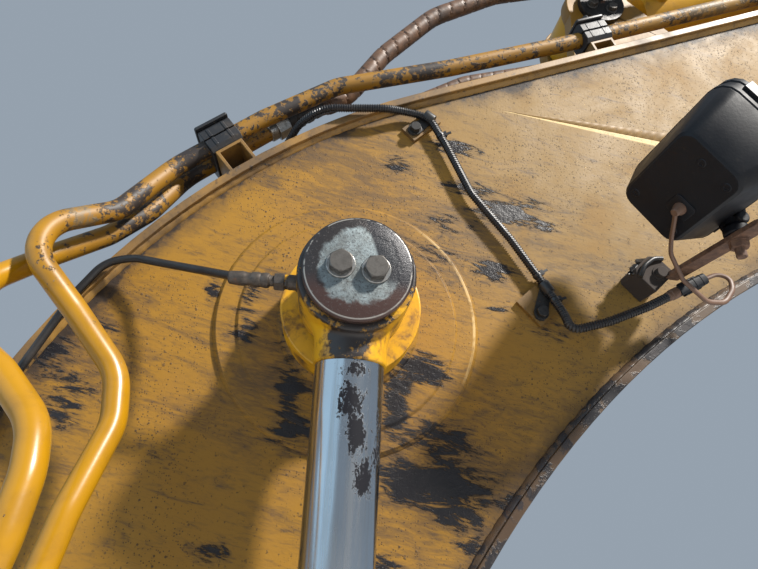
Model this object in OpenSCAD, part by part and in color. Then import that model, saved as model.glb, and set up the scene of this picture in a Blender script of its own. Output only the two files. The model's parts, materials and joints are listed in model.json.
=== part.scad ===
// Excavator boom with its two lift cylinders, arm cylinder, pipes, wiring and work lamp.
// Millimetres. Origin on the boom foot pin, in the middle plane. X forward, Y to the left, Z up.
// The boom is drawn along the line from foot pin to tip pin, then turned up by boom_slope.

/* [Boom] */
// Distance from the foot pin to the tip pin
boom_l = 5400; // [4600:50:6200]
// Slope of that line with the boom at rest
boom_slope = 44.5; // [35:0.5:50]
// Width over the side plates
box_w = 430; // [380:5:500]
// Thickness of the side plates
side_t = 9; // [7:1:16]
// Thickness of the top and belly plates
flange_t = 14; // [8:1:22]
// Overhang of those plates past the side plates
flange_over = 15; // [8:1:25]
// Lift pin, measured along the line from foot to tip
lift_x = 2058; // [1900:10:2200]
// Lift pin, measured above that line
lift_z = 1028; // [940:4:1120]
// Corner of the top outline, forward of the lift pin
crown_x = -191; // [-260:5:-120]
// Corner of the top outline, above the lift pin
crown_z = 468; // [420:4:520]
// Corner of the belly outline, forward of the lift pin
belly_x = 128; // [60:4:200]
// Corner of the belly outline, above the lift pin
belly_z = -274; // [-330:4:-230]
// Radius of the crown
crown_r = 1130; // [900:10:1300]
// Radius of the belly
belly_r = 1490; // [1100:10:1700]
// Radius of the outline round the foot pin
foot_end_r = 130; // [110:2:150]
// Radius of the outline round the tip pin
tip_end_r = 135; // [110:2:155]

/* [Foot and tip] */
// Bore of the foot boss
foot_bore = 90; // [60:2:120]
// Width of the foot boss
foot_w = 446; // [440:2:470]
// Bore of the two tip ears
tip_bore = 80; // [60:2:100]
// Gap between the tip ears, for the arm
arm_gap = 320; // [280:5:360]
// Distance from the end of the box to the tip pin
fork_l = 420; // [360:10:520]
// Thickness of the plate that closes the box
bulkhead_t = 12; // [8:1:20]

/* [Lift pin] */
// Diameter of the lift pin
lift_pin_d = 80; // [60:2:90]
// Diameter of the boss tube that holds it
boss_d = 200; // [170:2:230]
// Reach of the boss past each side plate
boss_reach = 85; // [70:1:110]
// Diameter of the reinforcing ring round the boss
ring_d = 400; // [360:5:430]
// Thickness of that ring
ring_t = 8; // [5:1:14]
// Diameter of the second ring on top of it
inner_ring_d = 333; // [300:3:350]
// Thickness of the second ring
inner_ring_t = 5; // [3:1:10]
// Diameter of the retaining caps
cap_d = 135; // [120:1:145]
// Thickness of the retaining caps
cap_t = 14; // [10:1:20]
// Chamfer round a cap's face
cap_edge = 3; // [1:0.5:5]
// Distance between the two bolts in a cap
cap_bolt_pitch = 43; // [38:1:60]
// Width of a cap bolt head across flats
cap_bolt_af = 27; // [19:1:32]
// Height of a cap bolt head
cap_bolt_h = 11; // [8:1:16]
// Diameter of the washer under it
washer_d = 36; // [33:1:37]
// Thickness of that washer
washer_t = 3; // [2:0.5:5]

/* [Lift cylinders] */
// Diameter of the eyes
eye_d = 148; // [130:2:160]
// Width of the eyes
eye_w = 110; // [90:1:130]
// Gap between boss and eye
eye_gap = 12; // [6:1:20]
// Gap between eye and cap
cap_gap = 4; // [2:0.5:8]
// Diameter of the neck between eye and rod
neck_d = 100; // [94:1:120]
// Distance from the pin to the end of the neck
neck_l = 104; // [97:1:130]
// Radius of the flare between neck and eye
neck_flare = 60; // [45:1:75]
// Diameter of the rod
rod_d = 85; // [70:1:90]
// Bore of the barrel
lift_bore = 120; // [110:2:130]
// Outer diameter of the barrel
barrel_d = 145; // [138:1:160]
// Diameter of the gland
gland_d = 168; // [160:1:180]
// Length of the gland
gland_l = 120; // [90:5:160]
// Distance from pin to pin with the rod fully in
closed_l = 1850; // [1780:10:2000]
// Stroke of the rod
stroke = 1260; // [1100:10:1300]
// Extension of the rod at rest
rest_ext = 655; // [500:5:800]
// Length of the piston
piston_l = 80; // [60:5:100]

/* [Arm cylinder] */
// Bracket pin, measured along the top plate from the end of the crown
arm_pin_s = 600; // [540:5:700]
// Bracket pin, measured up from the top plate
arm_pin_h = 215; // [190:5:240]
// Rise of the cylinder over the line of the top plate, at rest
arm_rise = 3; // [2:0.5:6]
// Diameter of the bracket pin
arm_pin_d = 80; // [60:2:90]
// Radius of the bracket's ears
lug_r = 82; // [70:2:95]
// Thickness of the bracket's ears
lug_t = 35; // [25:1:45]
// Gap on each side of the cylinder's eye
lug_gap = 5; // [2:1:8]
// Width of the cylinder's eyes
arm_eye_w = 100; // [80:2:110]
// Diameter of the cylinder's eyes
arm_eye_d = 150; // [135:1:158]
// Diameter of the rod
arm_rod_d = 95; // [80:1:100]
// Bore of the barrel
arm_bore = 135; // [125:1:140]
// Outer diameter of the barrel
arm_barrel_d = 160; // [154:1:172]
// Diameter of the gland
arm_gland_d = 185; // [176:1:200]
// Distance from pin to pin with the rod fully in
arm_closed_l = 2100; // [2000:10:2200]
// Stroke of the rod
arm_stroke = 1450; // [1300:10:1500]
// Extension of the rod at rest
arm_rest_ext = 250; // [150:5:350]

/* [Pipes and wiring] */
// Diameter of the oil pipes
pipe_d = 32; // [25:1:36]
// Height of the outer pipe above the top plate
pipe_h = 56; // [46:1:70]
// Height of both pipes at the clamp on the crown
crown_h = 78; // [66:1:92]
// Distance of the outer pipe from the middle plane
pipe_y = 195; // [186:1:202]
// Distance between the two pipes
pipe_pitch = 46; // [44:1:56]
// Length of a clamp along the pipe
clamp_l = 60; // [45:1:80]
// Wall of a clamp round a pipe
clamp_wall = 10; // [6:1:14]
// Play of a pipe in its clamp
clamp_play = 0.3; // [0.2:0.1:1]
// Thickness of the cover on a clamp block
cover_t = 5; // [3:0.5:8]
// Thickness of the bent sheet under a clamp block
saddle_t = 6; // [4:0.5:8]
// Diameter of the hoses to the arm cylinder
hose_d = 38; // [30:1:44]
// Diameter of the grease hoses
grease_d = 12; // [9:0.5:15]
// Diameter of the wiring loom
loom_d = 13; // [9:0.5:16]
// Thickness of the plates under the loom's clips
clip_t = 8; // [5:1:12]

/* [Work lamp] */
// Width of the lamp
lamp_w = 210; // [180:5:230]
// Height of the lamp
lamp_h = 148; // [130:2:170]
// Depth of the lamp
lamp_l = 104; // [90:2:120]
// Chamfer of the lamp's corners
lamp_edge = 17; // [12:1:24]
// Size of the lamp's rear face against its front
lamp_taper = 0.71; // [0.6:0.01:0.85]
// Thickness of the lamp's glass
glass_t = 6; // [4:1:10]
// Width of the bar that carries it
lamp_bar_w = 26; // [22:1:34]
// Thickness of that bar
lamp_bar_t = 8; // [5:1:12]

/* [Hidden] */
run = 0.06;
seam = 0.1;
soft_gap = 0.3;
lap = 1;
half_w = box_w / 2;
in_w = box_w - 2 * side_t;
lip_y = half_w + flange_over;
lift = [lift_x, lift_z];
tip = [boom_l, 0];
crown = lift + [crown_x, crown_z];
belly = lift + [belly_x, belly_z];
boss_y = half_w + boss_reach;
eye_y = boss_y + eye_gap;
cap_y = eye_y + eye_w + cap_gap;
cyl_y = eye_y + eye_w / 2;
fork_t = half_w - side_t - arm_gap / 2;
foot_boss_r = foot_end_r - 30;
steps = 22;

// Directions and offsets in the plane of a side plate
function unit(v) = v / norm(v);
function dir(a) = [cos(a), sin(a)];
function angle_of(v) = atan2(v[1], v[0]);
function tangent(c, p, r, side) = angle_of(p - c) + side * asin(r / norm(p - c));
function at3(p, y) = [p[0], y, p[1]];

// The top outline: a line from the foot, the crown's arc and a line to the tip
top_rear = tangent(crown, [0, 0], foot_end_r, -1);
top_front = tangent(crown, tip, tip_end_r, 1);
top_half = (360 + top_front - top_rear) % 360 / 2;
top_len = crown_r / tan(top_half);
top_in = unit(dir(top_rear) + dir(top_front));
top_mid = crown + top_in * crown_r / sin(top_half);
top_start = crown + dir(top_front) * top_len;
top_turn = 180 - 2 * top_half;
top_arc = crown_r * top_turn * PI / 180;
top_n = [-sin(top_front), cos(top_front)];

// A point on the top plate: s runs forward from the front end of the crown, h is its height
function slope_at(s) = s > 0 ? top_front : top_front + min(-s, top_arc) / crown_r * 180 / PI;
function on_top(s, h) = s >= 0 ? top_start + dir(top_front) * s + top_n * h :
  s > -top_arc ? top_mid + dir(90 + slope_at(s)) * (crown_r + h) :
  top_mid + dir(90 + slope_at(s)) * (crown_r + h) + dir(top_rear) * (-s - top_arc);
top_end = norm(tip - top_start) * cos(asin(tip_end_r / norm(tip - top_start))) - fork_l;
top_tail = -top_arc - sqrt(pow(norm(crown), 2) - pow(foot_end_r, 2)) + top_len;
function top_path(k) = concat([on_top(top_tail, -k)],
  [for (i = [0 : steps]) on_top(-top_arc * (1 - i / steps) - 0.001, -k)]);

// The belly outline, built the same way from its own corner
belly_rear = tangent(belly, [0, 0], foot_end_r, 1);
belly_front = tangent(belly, tip, tip_end_r, -1);
belly_half = abs((360 + belly_front - belly_rear) % 360) / 2;
belly_len = belly_r / tan(belly_half);
belly_out = unit(dir(belly_rear) + dir(belly_front));
belly_mid = belly + belly_out * belly_r / sin(belly_half);
belly_start = belly + dir(belly_front) * belly_len;
belly_n = [-sin(belly_front), cos(belly_front)];
belly_turn = 180 - 2 * belly_half;
belly_end = norm(tip - belly_start) * cos(asin(tip_end_r / norm(tip - belly_start))) - fork_l;
belly_tail = sqrt(pow(norm(belly), 2) - pow(foot_end_r, 2)) - belly_len;
function belly_arc(k, i) = belly_mid
  + dir(90 + belly_front + belly_turn * (1 - i / steps)) * (belly_r + k);
function belly_front_at(s, k) = belly_start + dir(belly_front) * s + belly_n * k;
function belly_path(k) = concat([belly_arc(k, 0) + dir(belly_rear) * belly_tail],
  [for (i = [0 : steps]) belly_arc(k, i)]);

function back(v) = [for (i = [len(v) - 1 : -1 : 0]) v[i]];

// Moves a drawing from the boom's own line into the row's frame
module boom_frame() { rotate([0, -boom_slope, 0]) children(); }
// A flat plate, drawn in x and z, that starts at y0 and is t thick
module plate(y0, t) {
  translate([0, y0 + t, 0]) rotate([90, 0, 0]) linear_extrude(t) children();
}
// A round bar across the boom from y0 to y1
module across(p, r, y0, y1) {
  translate([p[0], y0, p[1]]) rotate([-90, 0, 0]) cylinder(r = r, h = y1 - y0, $fn = 48);
}
// The frame on the top plate at s: x along it, z straight up from it
module at_top(s) { translate(at3(on_top(s, 0), 0)) rotate([0, -slope_at(s), 0]) children(); }
module left_side() { mirror([0, 1, 0]) children(); }
// The round neck below an eye, flared into the eye's own round and cut to its width
module flared_neck(eye_r, r, len, w) {
  mid_x = r + neck_flare;
  mid_z = -sqrt(pow(eye_r + neck_flare, 2) - pow(mid_x, 2));
  wide = atan2(-mid_z, mid_x);
  top_r = mid_x - neck_flare * cos(wide);
  intersection() {
    rotate_extrude($fn = 48) polygon(concat([[0, 0], [top_r, 0]],
      [for (i = [6 : -1 : 0])
        [mid_x - neck_flare * cos(wide * i / 6), mid_z + neck_flare * sin(wide * i / 6)]],
      [[r, -len], [0, -len]]));
    translate([-eye_r, -w / 2, -len]) cube([2 * eye_r, w, len]);
  }
}

// A round pipe through the points p, bent with radius r or less
function fit_r(a, b, c, r, th) = min(r, 0.48 * min(norm(b - a), norm(c - b)) / tan(th / 2));
function turn(a, b, c) = acos(max(-1, min(1, unit(b - a) * unit(c - b))));
function cut(p, i, r) = (i == 0 || i == len(p) - 1) ? 0 :
  turn(p[i - 1], p[i], p[i + 1]) < 0.5 ? 0 :
  fit_r(p[i - 1], p[i], p[i + 1], r, turn(p[i - 1], p[i], p[i + 1]))
  * tan(turn(p[i - 1], p[i], p[i + 1]) / 2);
function side_of(u) = abs(u[1]) < 0.9 ? unit(cross(u, [0, 1, 0])) : unit(cross(u, [1, 0, 0]));
module frame_at(x, y, z, o) {
  multmatrix([[x[0], y[0], z[0], o[0]], [x[1], y[1], z[1], o[1]],
    [x[2], y[2], z[2], o[2]], [0, 0, 0, 1]]) children();
}
module bar(a, b, d) {
  u = unit(b - a);
  x = side_of(u);
  frame_at(x, cross(u, x), u, a) cylinder(d = d, h = norm(b - a), $fn = 24);
}
module elbow(a, b, c, d, r) {
  u = unit(b - a);
  v = unit(c - b);
  th = turn(a, b, c);
  n = unit(v - u * (u * v));
  frame_at(-n, u, cross(-n, u), b - u * r * tan(th / 2) + n * r)
    rotate_extrude(angle = th, $fn = 72) translate([r, 0]) circle(d = d, $fn = 24);
}
function trim(p, i, r) = cut(p, i, r) > 0 ? cut(p, i, r) - lap : 0;
module pipe(p, d, r) {
  for (i = [0 : len(p) - 2]) {
    u = unit(p[i + 1] - p[i]);
    bar(p[i] + u * trim(p, i, r), p[i + 1] - u * trim(p, i + 1, r), d);
  }
  for (i = [1 : len(p) - 2])
    if (cut(p, i, r) > 0)
      elbow(p[i - 1], p[i], p[i + 1], d + 0.2,
        cut(p, i, r) / tan(turn(p[i - 1], p[i], p[i + 1]) / 2));
}
// A hose or loom through the points p, swept as one skin with all but its slight corners rounded
slight = 8;
function corner(a, b, c, r) =
  let (u = unit(b - a), v = unit(c - b), th = turn(a, b, c), q = fit_r(a, b, c, r, max(th, 1)))
  th < slight ? [b] :
  let (n = unit(v - u * (u * v)), m = b - u * q * tan(th / 2) + n * q)
  [for (k = [0 : 2]) m - n * q * cos(th * k / 2) + u * q * sin(th * k / 2)];
function rounded(p, r) = concat([p[0]],
  [for (i = [1 : len(p) - 2]) each corner(p[i - 1], p[i], p[i + 1], r)], [p[len(p) - 1]]);
function heading(p, i) = unit(p[min(i + 1, len(p) - 1)] - p[max(i - 1, 0)]);
function carry(x, u) = unit(x - u * (u * x));
module soft_tube(route, d, r, sides) {
  p = rounded(route, r);
  last = len(p) - 1;
  x = [for (i = 0, v = side_of(heading(p, 0)); i <= last;
    i = i + 1, v = carry(v, heading(p, min(i, last)))) v];
  ring = [for (i = [0 : last], k = [0 : sides - 1])
    p[i] + (x[i] * cos(360 * k / sides) + cross(heading(p, i), x[i]) * sin(360 * k / sides)) * d / 2];
  skin = [for (i = [0 : last - 1], k = [0 : sides - 1])
    let (a = i * sides + k, b = i * sides + (k + 1) % sides)
    each [[a, a + sides, b + sides], [a, b + sides, b]]];
  polyhedron(ring, concat(skin, [[for (k = [0 : sides - 1]) k]],
    [[for (k = [sides - 1 : -1 : 0]) last * sides + k]]));
}
function near_lift(x, y, z) = [lift_x + x, y, lift_z + z];
function top3(s, h, y) = at3(on_top(s, h), y);
// A point of a pipe beside a clamp on the top plate, dx along the pipe
function clamp_pt(s, dx, h, y) = at3(on_top(s, h) + dir(slope_at(s)) * dx, y);
function by_crown(dx, y, h) = clamp_pt(crown_s, dx, h, y);

// The box
side_k = flange_t + seam;
// The seam where a side plate's two pieces meet is a shallow valley, deepest in its middle
seam_p = lift + [492, 133];
seam_drop = 50;
seam_l = 800;
seam_half = 20;
module seam_valley() {
  deep = side_t * 0.55;
  past = 2;
  end = past * seam_l / 2 / deep;
  wide = seam_half * (deep + past) / deep;
  translate(at3(seam_p, -half_w)) rotate([0, seam_drop, 0]) polyhedron(
    [[-end, -past, 0], [seam_l / 2, -past, wide], [seam_l / 2, -past, -wide],
      [seam_l / 2, deep, 0], [seam_l + end, -past, 0]],
    [[0, 1, 4, 2], [1, 0, 3], [0, 2, 3], [4, 1, 3], [2, 4, 3]]);
}
module side_plate_right() {
  color("goldenrod") boom_frame() difference() {
    union() {
      plate(-half_w, side_t)
        polygon(concat([[0, 0]], top_path(side_k), [on_top(top_end + fork_l, -side_k), tip],
          [belly_front_at(belly_end + fork_l, side_k)], back(belly_path(side_k))));
      across([0, 0], foot_end_r - side_k - 1, -half_w, side_t - half_w);
      across(tip, tip_end_r - side_k - 1, -half_w, side_t - half_w);
    }
    across([0, 0], foot_boss_r + seam, -half_w - 1, side_t - half_w + 1);
    across(lift, boss_d / 2, -half_w - 1, side_t - half_w + 1);
    across(tip, tip_bore / 2, -half_w - 1, side_t - half_w + 1);
    seam_valley();
  }
}
module side_plate_left() { left_side() side_plate_right(); }
module top_plate() {
  color("goldenrod") boom_frame() plate(-lip_y, 2 * lip_y)
    polygon(concat(top_path(0), [on_top(top_end, 0), on_top(top_end, -flange_t)],
      back(top_path(flange_t))));
}
module belly_plate() {
  color("goldenrod") boom_frame() plate(-lip_y, 2 * lip_y)
    polygon(concat(belly_path(0), [belly_front_at(belly_end, 0),
      belly_front_at(belly_end, flange_t)], back(belly_path(flange_t))));
}
module foot_boss() {
  color("goldenrod") boom_frame() difference() {
    union() {
      across([0, 0], foot_boss_r, -foot_w / 2, foot_w / 2);
      across([0, 0], foot_end_r - side_k, -in_w / 2 + seam, in_w / 2 - seam);
    }
    across([0, 0], foot_bore / 2, -foot_w, foot_w);
  }
}
module tip_bulkhead() {
  color("goldenrod") boom_frame() plate(-in_w / 2 + seam, in_w - 2 * seam)
    polygon([on_top(top_end, -side_k), on_top(top_end - bulkhead_t, -side_k),
      belly_front_at(belly_end - bulkhead_t, side_k), belly_front_at(belly_end, side_k)]);
}
module ear_outline() {
  difference() {
    union() {
      polygon([on_top(top_end + seam, -side_k), on_top(top_end + fork_l, -side_k), tip,
        belly_front_at(belly_end + fork_l, side_k), belly_front_at(belly_end + seam, side_k)]);
      translate(tip) circle(r = tip_end_r - side_k - 1, $fn = 64);
    }
    translate(tip) circle(d = tip_bore, $fn = 64);
  }
}
module tip_ears() {
  color("goldenrod") boom_frame() {
    plate(-in_w / 2 + seam, fork_t - seam) ear_outline();
    plate(in_w / 2 - fork_t, fork_t - seam) ear_outline();
  }
}

// The lift pin and what holds it
module lift_boss() {
  color("gold") boom_frame() difference() {
    across(lift, boss_d / 2, -boss_y, boss_y);
    across(lift, lift_pin_d / 2, -boss_y - 1, boss_y + 1);
  }
}
module boss_rings_right() {
  color("goldenrod") boom_frame() difference() {
    union() {
      across(lift, ring_d / 2, -half_w - ring_t, -half_w);
      across(lift, inner_ring_d / 2, -half_w - ring_t - inner_ring_t, -half_w);
    }
    across(lift, boss_d / 2, -boss_y, 0);
  }
}
module boss_rings_left() { left_side() boss_rings_right(); }
module lift_pin() {
  color("dimgray") boom_frame() across(lift, lift_pin_d / 2, -cap_y, cap_y);
}
module cap_bolt(x) {
  translate([x, -cap_y - cap_t, 0]) rotate([90, 0, 0]) {
    cylinder(d = washer_d, h = washer_t, $fn = 32);
    cylinder(d = cap_bolt_af / cos(30), h = washer_t + cap_bolt_h, $fn = 6);
  }
}
module pin_cap_right() {
  color("slategray") boom_frame() {
    across(lift, cap_d / 2, cap_edge - cap_y - cap_t, -cap_y);
    translate(at3(lift, -cap_y - cap_t)) rotate([-90, 0, 0])
      cylinder(r1 = cap_d / 2 - cap_edge, r2 = cap_d / 2, h = cap_edge, $fn = 48);
    translate(at3(lift, 0)) rotate([0, boom_slope + 5, 0]) {
      cap_bolt(-cap_bolt_pitch / 2);
      cap_bolt(cap_bolt_pitch / 2);
    }
  }
}
module pin_cap_left() { left_side() pin_cap_right(); }

// The arm cylinder's bracket, on the top plate
lug_y = arm_eye_w / 2 + lug_gap;
pad_t = 20;
module lug_outline() {
  difference() {
    union() {
      polygon([[-170, pad_t], [170, pad_t], [lug_r, arm_pin_h], [-lug_r, arm_pin_h]]);
      translate([0, arm_pin_h]) circle(r = lug_r, $fn = 64);
    }
    translate([0, arm_pin_h]) circle(d = arm_pin_d, $fn = 64);
  }
}
module arm_bracket() {
  color("goldenrod") boom_frame() at_top(arm_pin_s) {
    translate([-190, -lug_y - lug_t - 12, seam]) cube([380, 2 * (lug_y + lug_t + 12), pad_t - seam]);
    plate(-lug_y - lug_t, lug_t) lug_outline();
    plate(lug_y, lug_t) lug_outline();
  }
}
module arm_pin() {
  color("dimgray") boom_frame() at_top(arm_pin_s) {
    across([0, arm_pin_h], arm_pin_d / 2, -lug_y - lug_t - 14, lug_y + lug_t + 14);
    across([0, arm_pin_h], arm_pin_d / 2 + 14, -lug_y - lug_t - 14, -lug_y - lug_t);
    across([0, arm_pin_h], arm_pin_d / 2 + 14, lug_y + lug_t, lug_y + lug_t + 14);
  }
}

// The oil pipes. They leave the top plate behind the crown, swing out and come back beside the leg.
crown_s = -337;
inner_end = 105;
inner_y = pipe_y - pipe_pitch;
side_y = half_w + 40;
side_pitch = 52;
rear_slope = 30;
side_p = [-1216, -495];
front_s = [430, 1130, 1830, 2480];
side_clamps = [60, -200];
function side_pt(d, k) = lift + side_p + dir(rear_slope) * d + dir(rear_slope + 90) * k;
function outer_route() = concat(
  [for (s = [2600, 370]) top3(s, pipe_h, -pipe_y)],
  [top3(110, 64, -pipe_y), top3(-110, 88, -pipe_y)],
  [by_crown(90, -pipe_y, crown_h), by_crown(-90, -pipe_y, crown_h)],
  [by_crown(-210, -245, 24), by_crown(-295, -308, 18), by_crown(-331, -330, -25),
   by_crown(-328, -315, -120), by_crown(-327, -310, -225), by_crown(-360, -322, -282),
   by_crown(-437, -362, -346), by_crown(-521, -380, -419), near_lift(-760, -330, -220)],
  [at3(side_pt(230, 0), -side_y), at3(side_pt(-280, 0), -side_y)]);
function inner_route() = concat(
  [by_crown(inner_end, -inner_y, crown_h), by_crown(-80, -inner_y, crown_h)],
  [by_crown(-170, -190, 29), by_crown(-242, -215, 13), by_crown(-324, -260, 3),
   by_crown(-393, -318, -21), by_crown(-439, -372, -83), by_crown(-403, -435, -198),
   by_crown(-392, -463, -280), by_crown(-412, -480, -323), by_crown(-454, -496, -372),
   near_lift(-620, -480, -120), near_lift(-850, -340, -235)],
  [at3(side_pt(220, side_pitch), -side_y), at3(side_pt(-280, side_pitch), -side_y)]);
module inner_pipe_right() { color("gold") boom_frame() pipe(inner_route(), pipe_d, 70); }
module inner_pipe_left() { left_side() inner_pipe_right(); }
module outer_pipe_right() { color("gold") boom_frame() pipe(outer_route(), pipe_d, 70); }
module outer_pipe_left() { left_side() outer_pipe_right(); }

// Clamps: blocks round the pipes, brackets below them
block_r = pipe_d / 2 + clamp_wall;
module pipe_hole(y, z) {
  translate([-clamp_l, y, z]) rotate([0, 90, 0])
    cylinder(d = pipe_d + 2 * clamp_play, h = 2 * clamp_l, $fn = 24);
}
// A block w wide with its cover on top, which stands out by the lip
cover_lip = 2;
module block(w) {
  translate([-clamp_l / 2, -block_r, -block_r]) cube([clamp_l, w, 2 * block_r]);
  translate([-clamp_l / 2 - cover_lip, -block_r - cover_lip, block_r - seam])
    cube([clamp_l + 2 * cover_lip, w + 2 * cover_lip, cover_t + seam]);
}
module blocks_right() {
  at_top(crown_s) difference() {
    translate([0, -pipe_y, crown_h]) block(pipe_pitch + 2 * block_r);
    pipe_hole(-pipe_y, crown_h);
    pipe_hole(-inner_y, crown_h);
  }
  for (s = front_s) at_top(s) difference() {
    translate([0, -pipe_y, pipe_h]) block(2 * block_r);
    pipe_hole(-pipe_y, pipe_h);
  }
  for (d = side_clamps) translate(at3(side_pt(d, 0), -side_y)) rotate([0, -rear_slope, 0])
    difference() {
      translate([-clamp_l / 2, -block_r, -block_r])
        cube([clamp_l, 2 * block_r, side_pitch + 2 * block_r]);
      pipe_hole(0, 0);
      pipe_hole(0, side_pitch);
    }
}
module clamp_blocks() {
  color("black") boom_frame() {
    blocks_right();
    left_side() blocks_right();
  }
}
// A saddle of bent sheet, w wide, from z0 to z1, open toward the side
saddle_in = 4;
module saddle(w, z0, z1) {
  l = clamp_l - 2 * saddle_in;
  difference() {
    translate([-l / 2, -pipe_y - block_r + saddle_in, z0]) cube([l, w - 2 * saddle_in, z1 - z0]);
    translate([saddle_t - l / 2, -pipe_y - block_r, z0 - 1])
      cube([l - 2 * saddle_t, w, z1 - z0 - saddle_t + 1]);
  }
}
module brackets_right() {
  difference() {
    at_top(crown_s) saddle(pipe_pitch + 2 * block_r, -3, crown_h - block_r - seam);
    plate(-lip_y, box_w) polygon(concat(top_path(-seam), [lift]));
  }
  for (s = front_s) at_top(s) saddle(2 * block_r, seam, pipe_h - block_r - seam);
  for (d = side_clamps) translate(at3(side_pt(d, 0), -half_w)) rotate([0, -rear_slope, 0])
    translate([saddle_in - clamp_l / 2, half_w - side_y + block_r + seam, saddle_in - block_r])
    cube([clamp_l - 2 * saddle_in, side_y - half_w - block_r - seam,
      side_pitch + 2 * (block_r - saddle_in)]);
}
module clamp_brackets() {
  color("goldenrod") boom_frame() {
    brackets_right();
    left_side() brackets_right();
  }
}

// The wiring loom: along the top plate, over its edge, across the side plate to the lamp
loom_y = half_w + clip_t + loom_d / 2 + seam;
loom_top = loom_d / 2 + 2.5;
loom_lip = lip_y + loom_d / 2 + 6;
clip_a = on_top(6, -56);
clip_b = lift + [283, -165];
bolt_a = lift + [327, 196];
bolt_b = lift + [247, -188];
clip_half = 16;
plug_a = near_lift(392, -285, -301);
plug_b = near_lift(462, -287, -321);
plug_u = unit(plug_b - plug_a);
function loom_route() = concat(
  [top3(-top_arc - 785, loom_top, -105)],
  [for (i = [0 : 7]) top3(-top_arc + (top_arc - 420) * i / 7, loom_top, -105)],
  [top3(-290, loom_top + 3, -108), top3(-252, 24, -160), top3(-214, 30, -212),
   top3(-172, 22, -loom_lip), top3(-120, -2, -loom_lip), top3(-68, -22, -loom_lip),
   top3(-27, -34, -loom_y), at3(clip_a, -loom_y)],
  [near_lift(346, -loom_y, 138), near_lift(311, -loom_y, 38),
   near_lift(301, -loom_y, -66), at3(clip_b, -loom_y), near_lift(262, -246, -216),
   near_lift(242, -262, -238), near_lift(292, -274, -266)],
  [plug_a - plug_u * 40, plug_a - plug_u * soft_gap]);
module loom() {
  color("black") boom_frame() soft_tube(loom_route(), loom_d, 40, 10);
}
// A clip's plate reaches from the loom at p to its bolt at q, which is behind and below p or level
module clip(p, q) {
  translate(at3([q[0], min(p[1], q[1])] - [clip_half, clip_half], -half_w - clip_t))
    cube([p[0] - q[0] + 2 * clip_half, clip_t, abs(p[1] - q[1]) + 2 * clip_half]);
}
module loom_clips() {
  color("dimgray") boom_frame() {
    clip(clip_a, bolt_a);
    clip(clip_b, bolt_b);
  }
}
module loom_plug() {
  color("black") boom_frame() {
    bar(plug_a, plug_b, 18);
    pipe([plug_b - plug_u * 6, near_lift(482, -290, -329), near_lift(486, -297, -346),
      near_lift(468, -304, -358), near_lift(436, -308, -362), near_lift(406, -318, -340),
      near_lift(389, -338, -290), behind_lamp(12, 72, -60), behind_lamp(9, 55, -44),
      behind_lamp(12, 16, -20), behind_lamp(seam, 16, -20)], 9, 12);
  }
}

// The work lamp, on a bar that is welded to the side plate
lamp_p = near_lift(458, -434, -194);
lamp_foot = near_lift(454, -402, -291);
bar_foot = near_lift(442, -half_w - 45, -284);
bar_past = 50;
lamp_turn = [5, 7];
lamp_x = [cos(lamp_turn[0]) * cos(lamp_turn[1]), cos(lamp_turn[0]) * sin(lamp_turn[1]),
  -sin(lamp_turn[0])];
lamp_y = [-sin(lamp_turn[1]), cos(lamp_turn[1]), 0];
lamp_z = cross(lamp_x, lamp_y);
function behind_lamp(out, y, z) = lamp_p - lamp_x * (lamp_l / 2 + out) + lamp_y * y + lamp_z * z;
bar_u = unit(lamp_foot - bar_foot);
plumb = [sin(boom_slope), 0, cos(boom_slope)];
bar_up = unit(plumb - bar_u * (plumb * bar_u));
lamp_rim = 30;
glass_in = 10;
module lamp_frame() { translate(lamp_p) rotate([0, lamp_turn[0], lamp_turn[1]]) children(); }
module lamp_slice(x, t, k) {
  y = lamp_w / 2;
  z = lamp_h / 2;
  c = lamp_edge;
  translate([x, 0, 0]) rotate([90, 0, 90]) linear_extrude(t) scale([k, k])
    polygon([[y, z - c], [y - c, z], [c - y, z], [-y, z - c], [-y, c - z], [c - y, -z], [y - c, -z],
      [y, c - z]]);
}
module lamp_housing() {
  color("black") boom_frame() {
    lamp_frame() hull() {
      lamp_slice(lamp_l / 2 - lamp_rim, lamp_rim, 1);
      lamp_slice(-lamp_l / 2, 4, lamp_taper);
    }
    bar(lamp_foot + bar_up * seam, lamp_foot + bar_up * 52, 34);
  }
}
module lamp_glass() {
  color("white") boom_frame() lamp_frame()
    translate([lamp_l / 2, glass_in - lamp_w / 2, glass_in - lamp_h / 2])
    cube([glass_t, lamp_w - 2 * glass_in, lamp_h - 2 * glass_in]);
}
// The bar starts from a block on the side plate; a nut and a bolt's end hang under the lamp's foot
block_w = 52;
block_h = 48;
block_y = 50;
module lamp_bar() {
  color("sienna") boom_frame() {
    translate([bar_foot[0] + 7 - block_w, -half_w - block_y, bar_foot[2] - 2])
      cube([block_w, block_y, block_h]);
    frame_at(cross(bar_up, bar_u), bar_up, bar_u, bar_foot)
      translate([-lamp_bar_w / 2, -lamp_bar_t, 0])
      cube([lamp_bar_w, lamp_bar_t, norm(lamp_foot - bar_foot) + bar_past]);
    bar(lamp_foot - bar_up * (lamp_bar_t + 12), lamp_foot - bar_up * (lamp_bar_t - 1), 26);
    bar(lamp_foot - bar_up * (lamp_bar_t + 26), lamp_foot - bar_up * (lamp_bar_t - 1), 14);
  }
}

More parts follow.
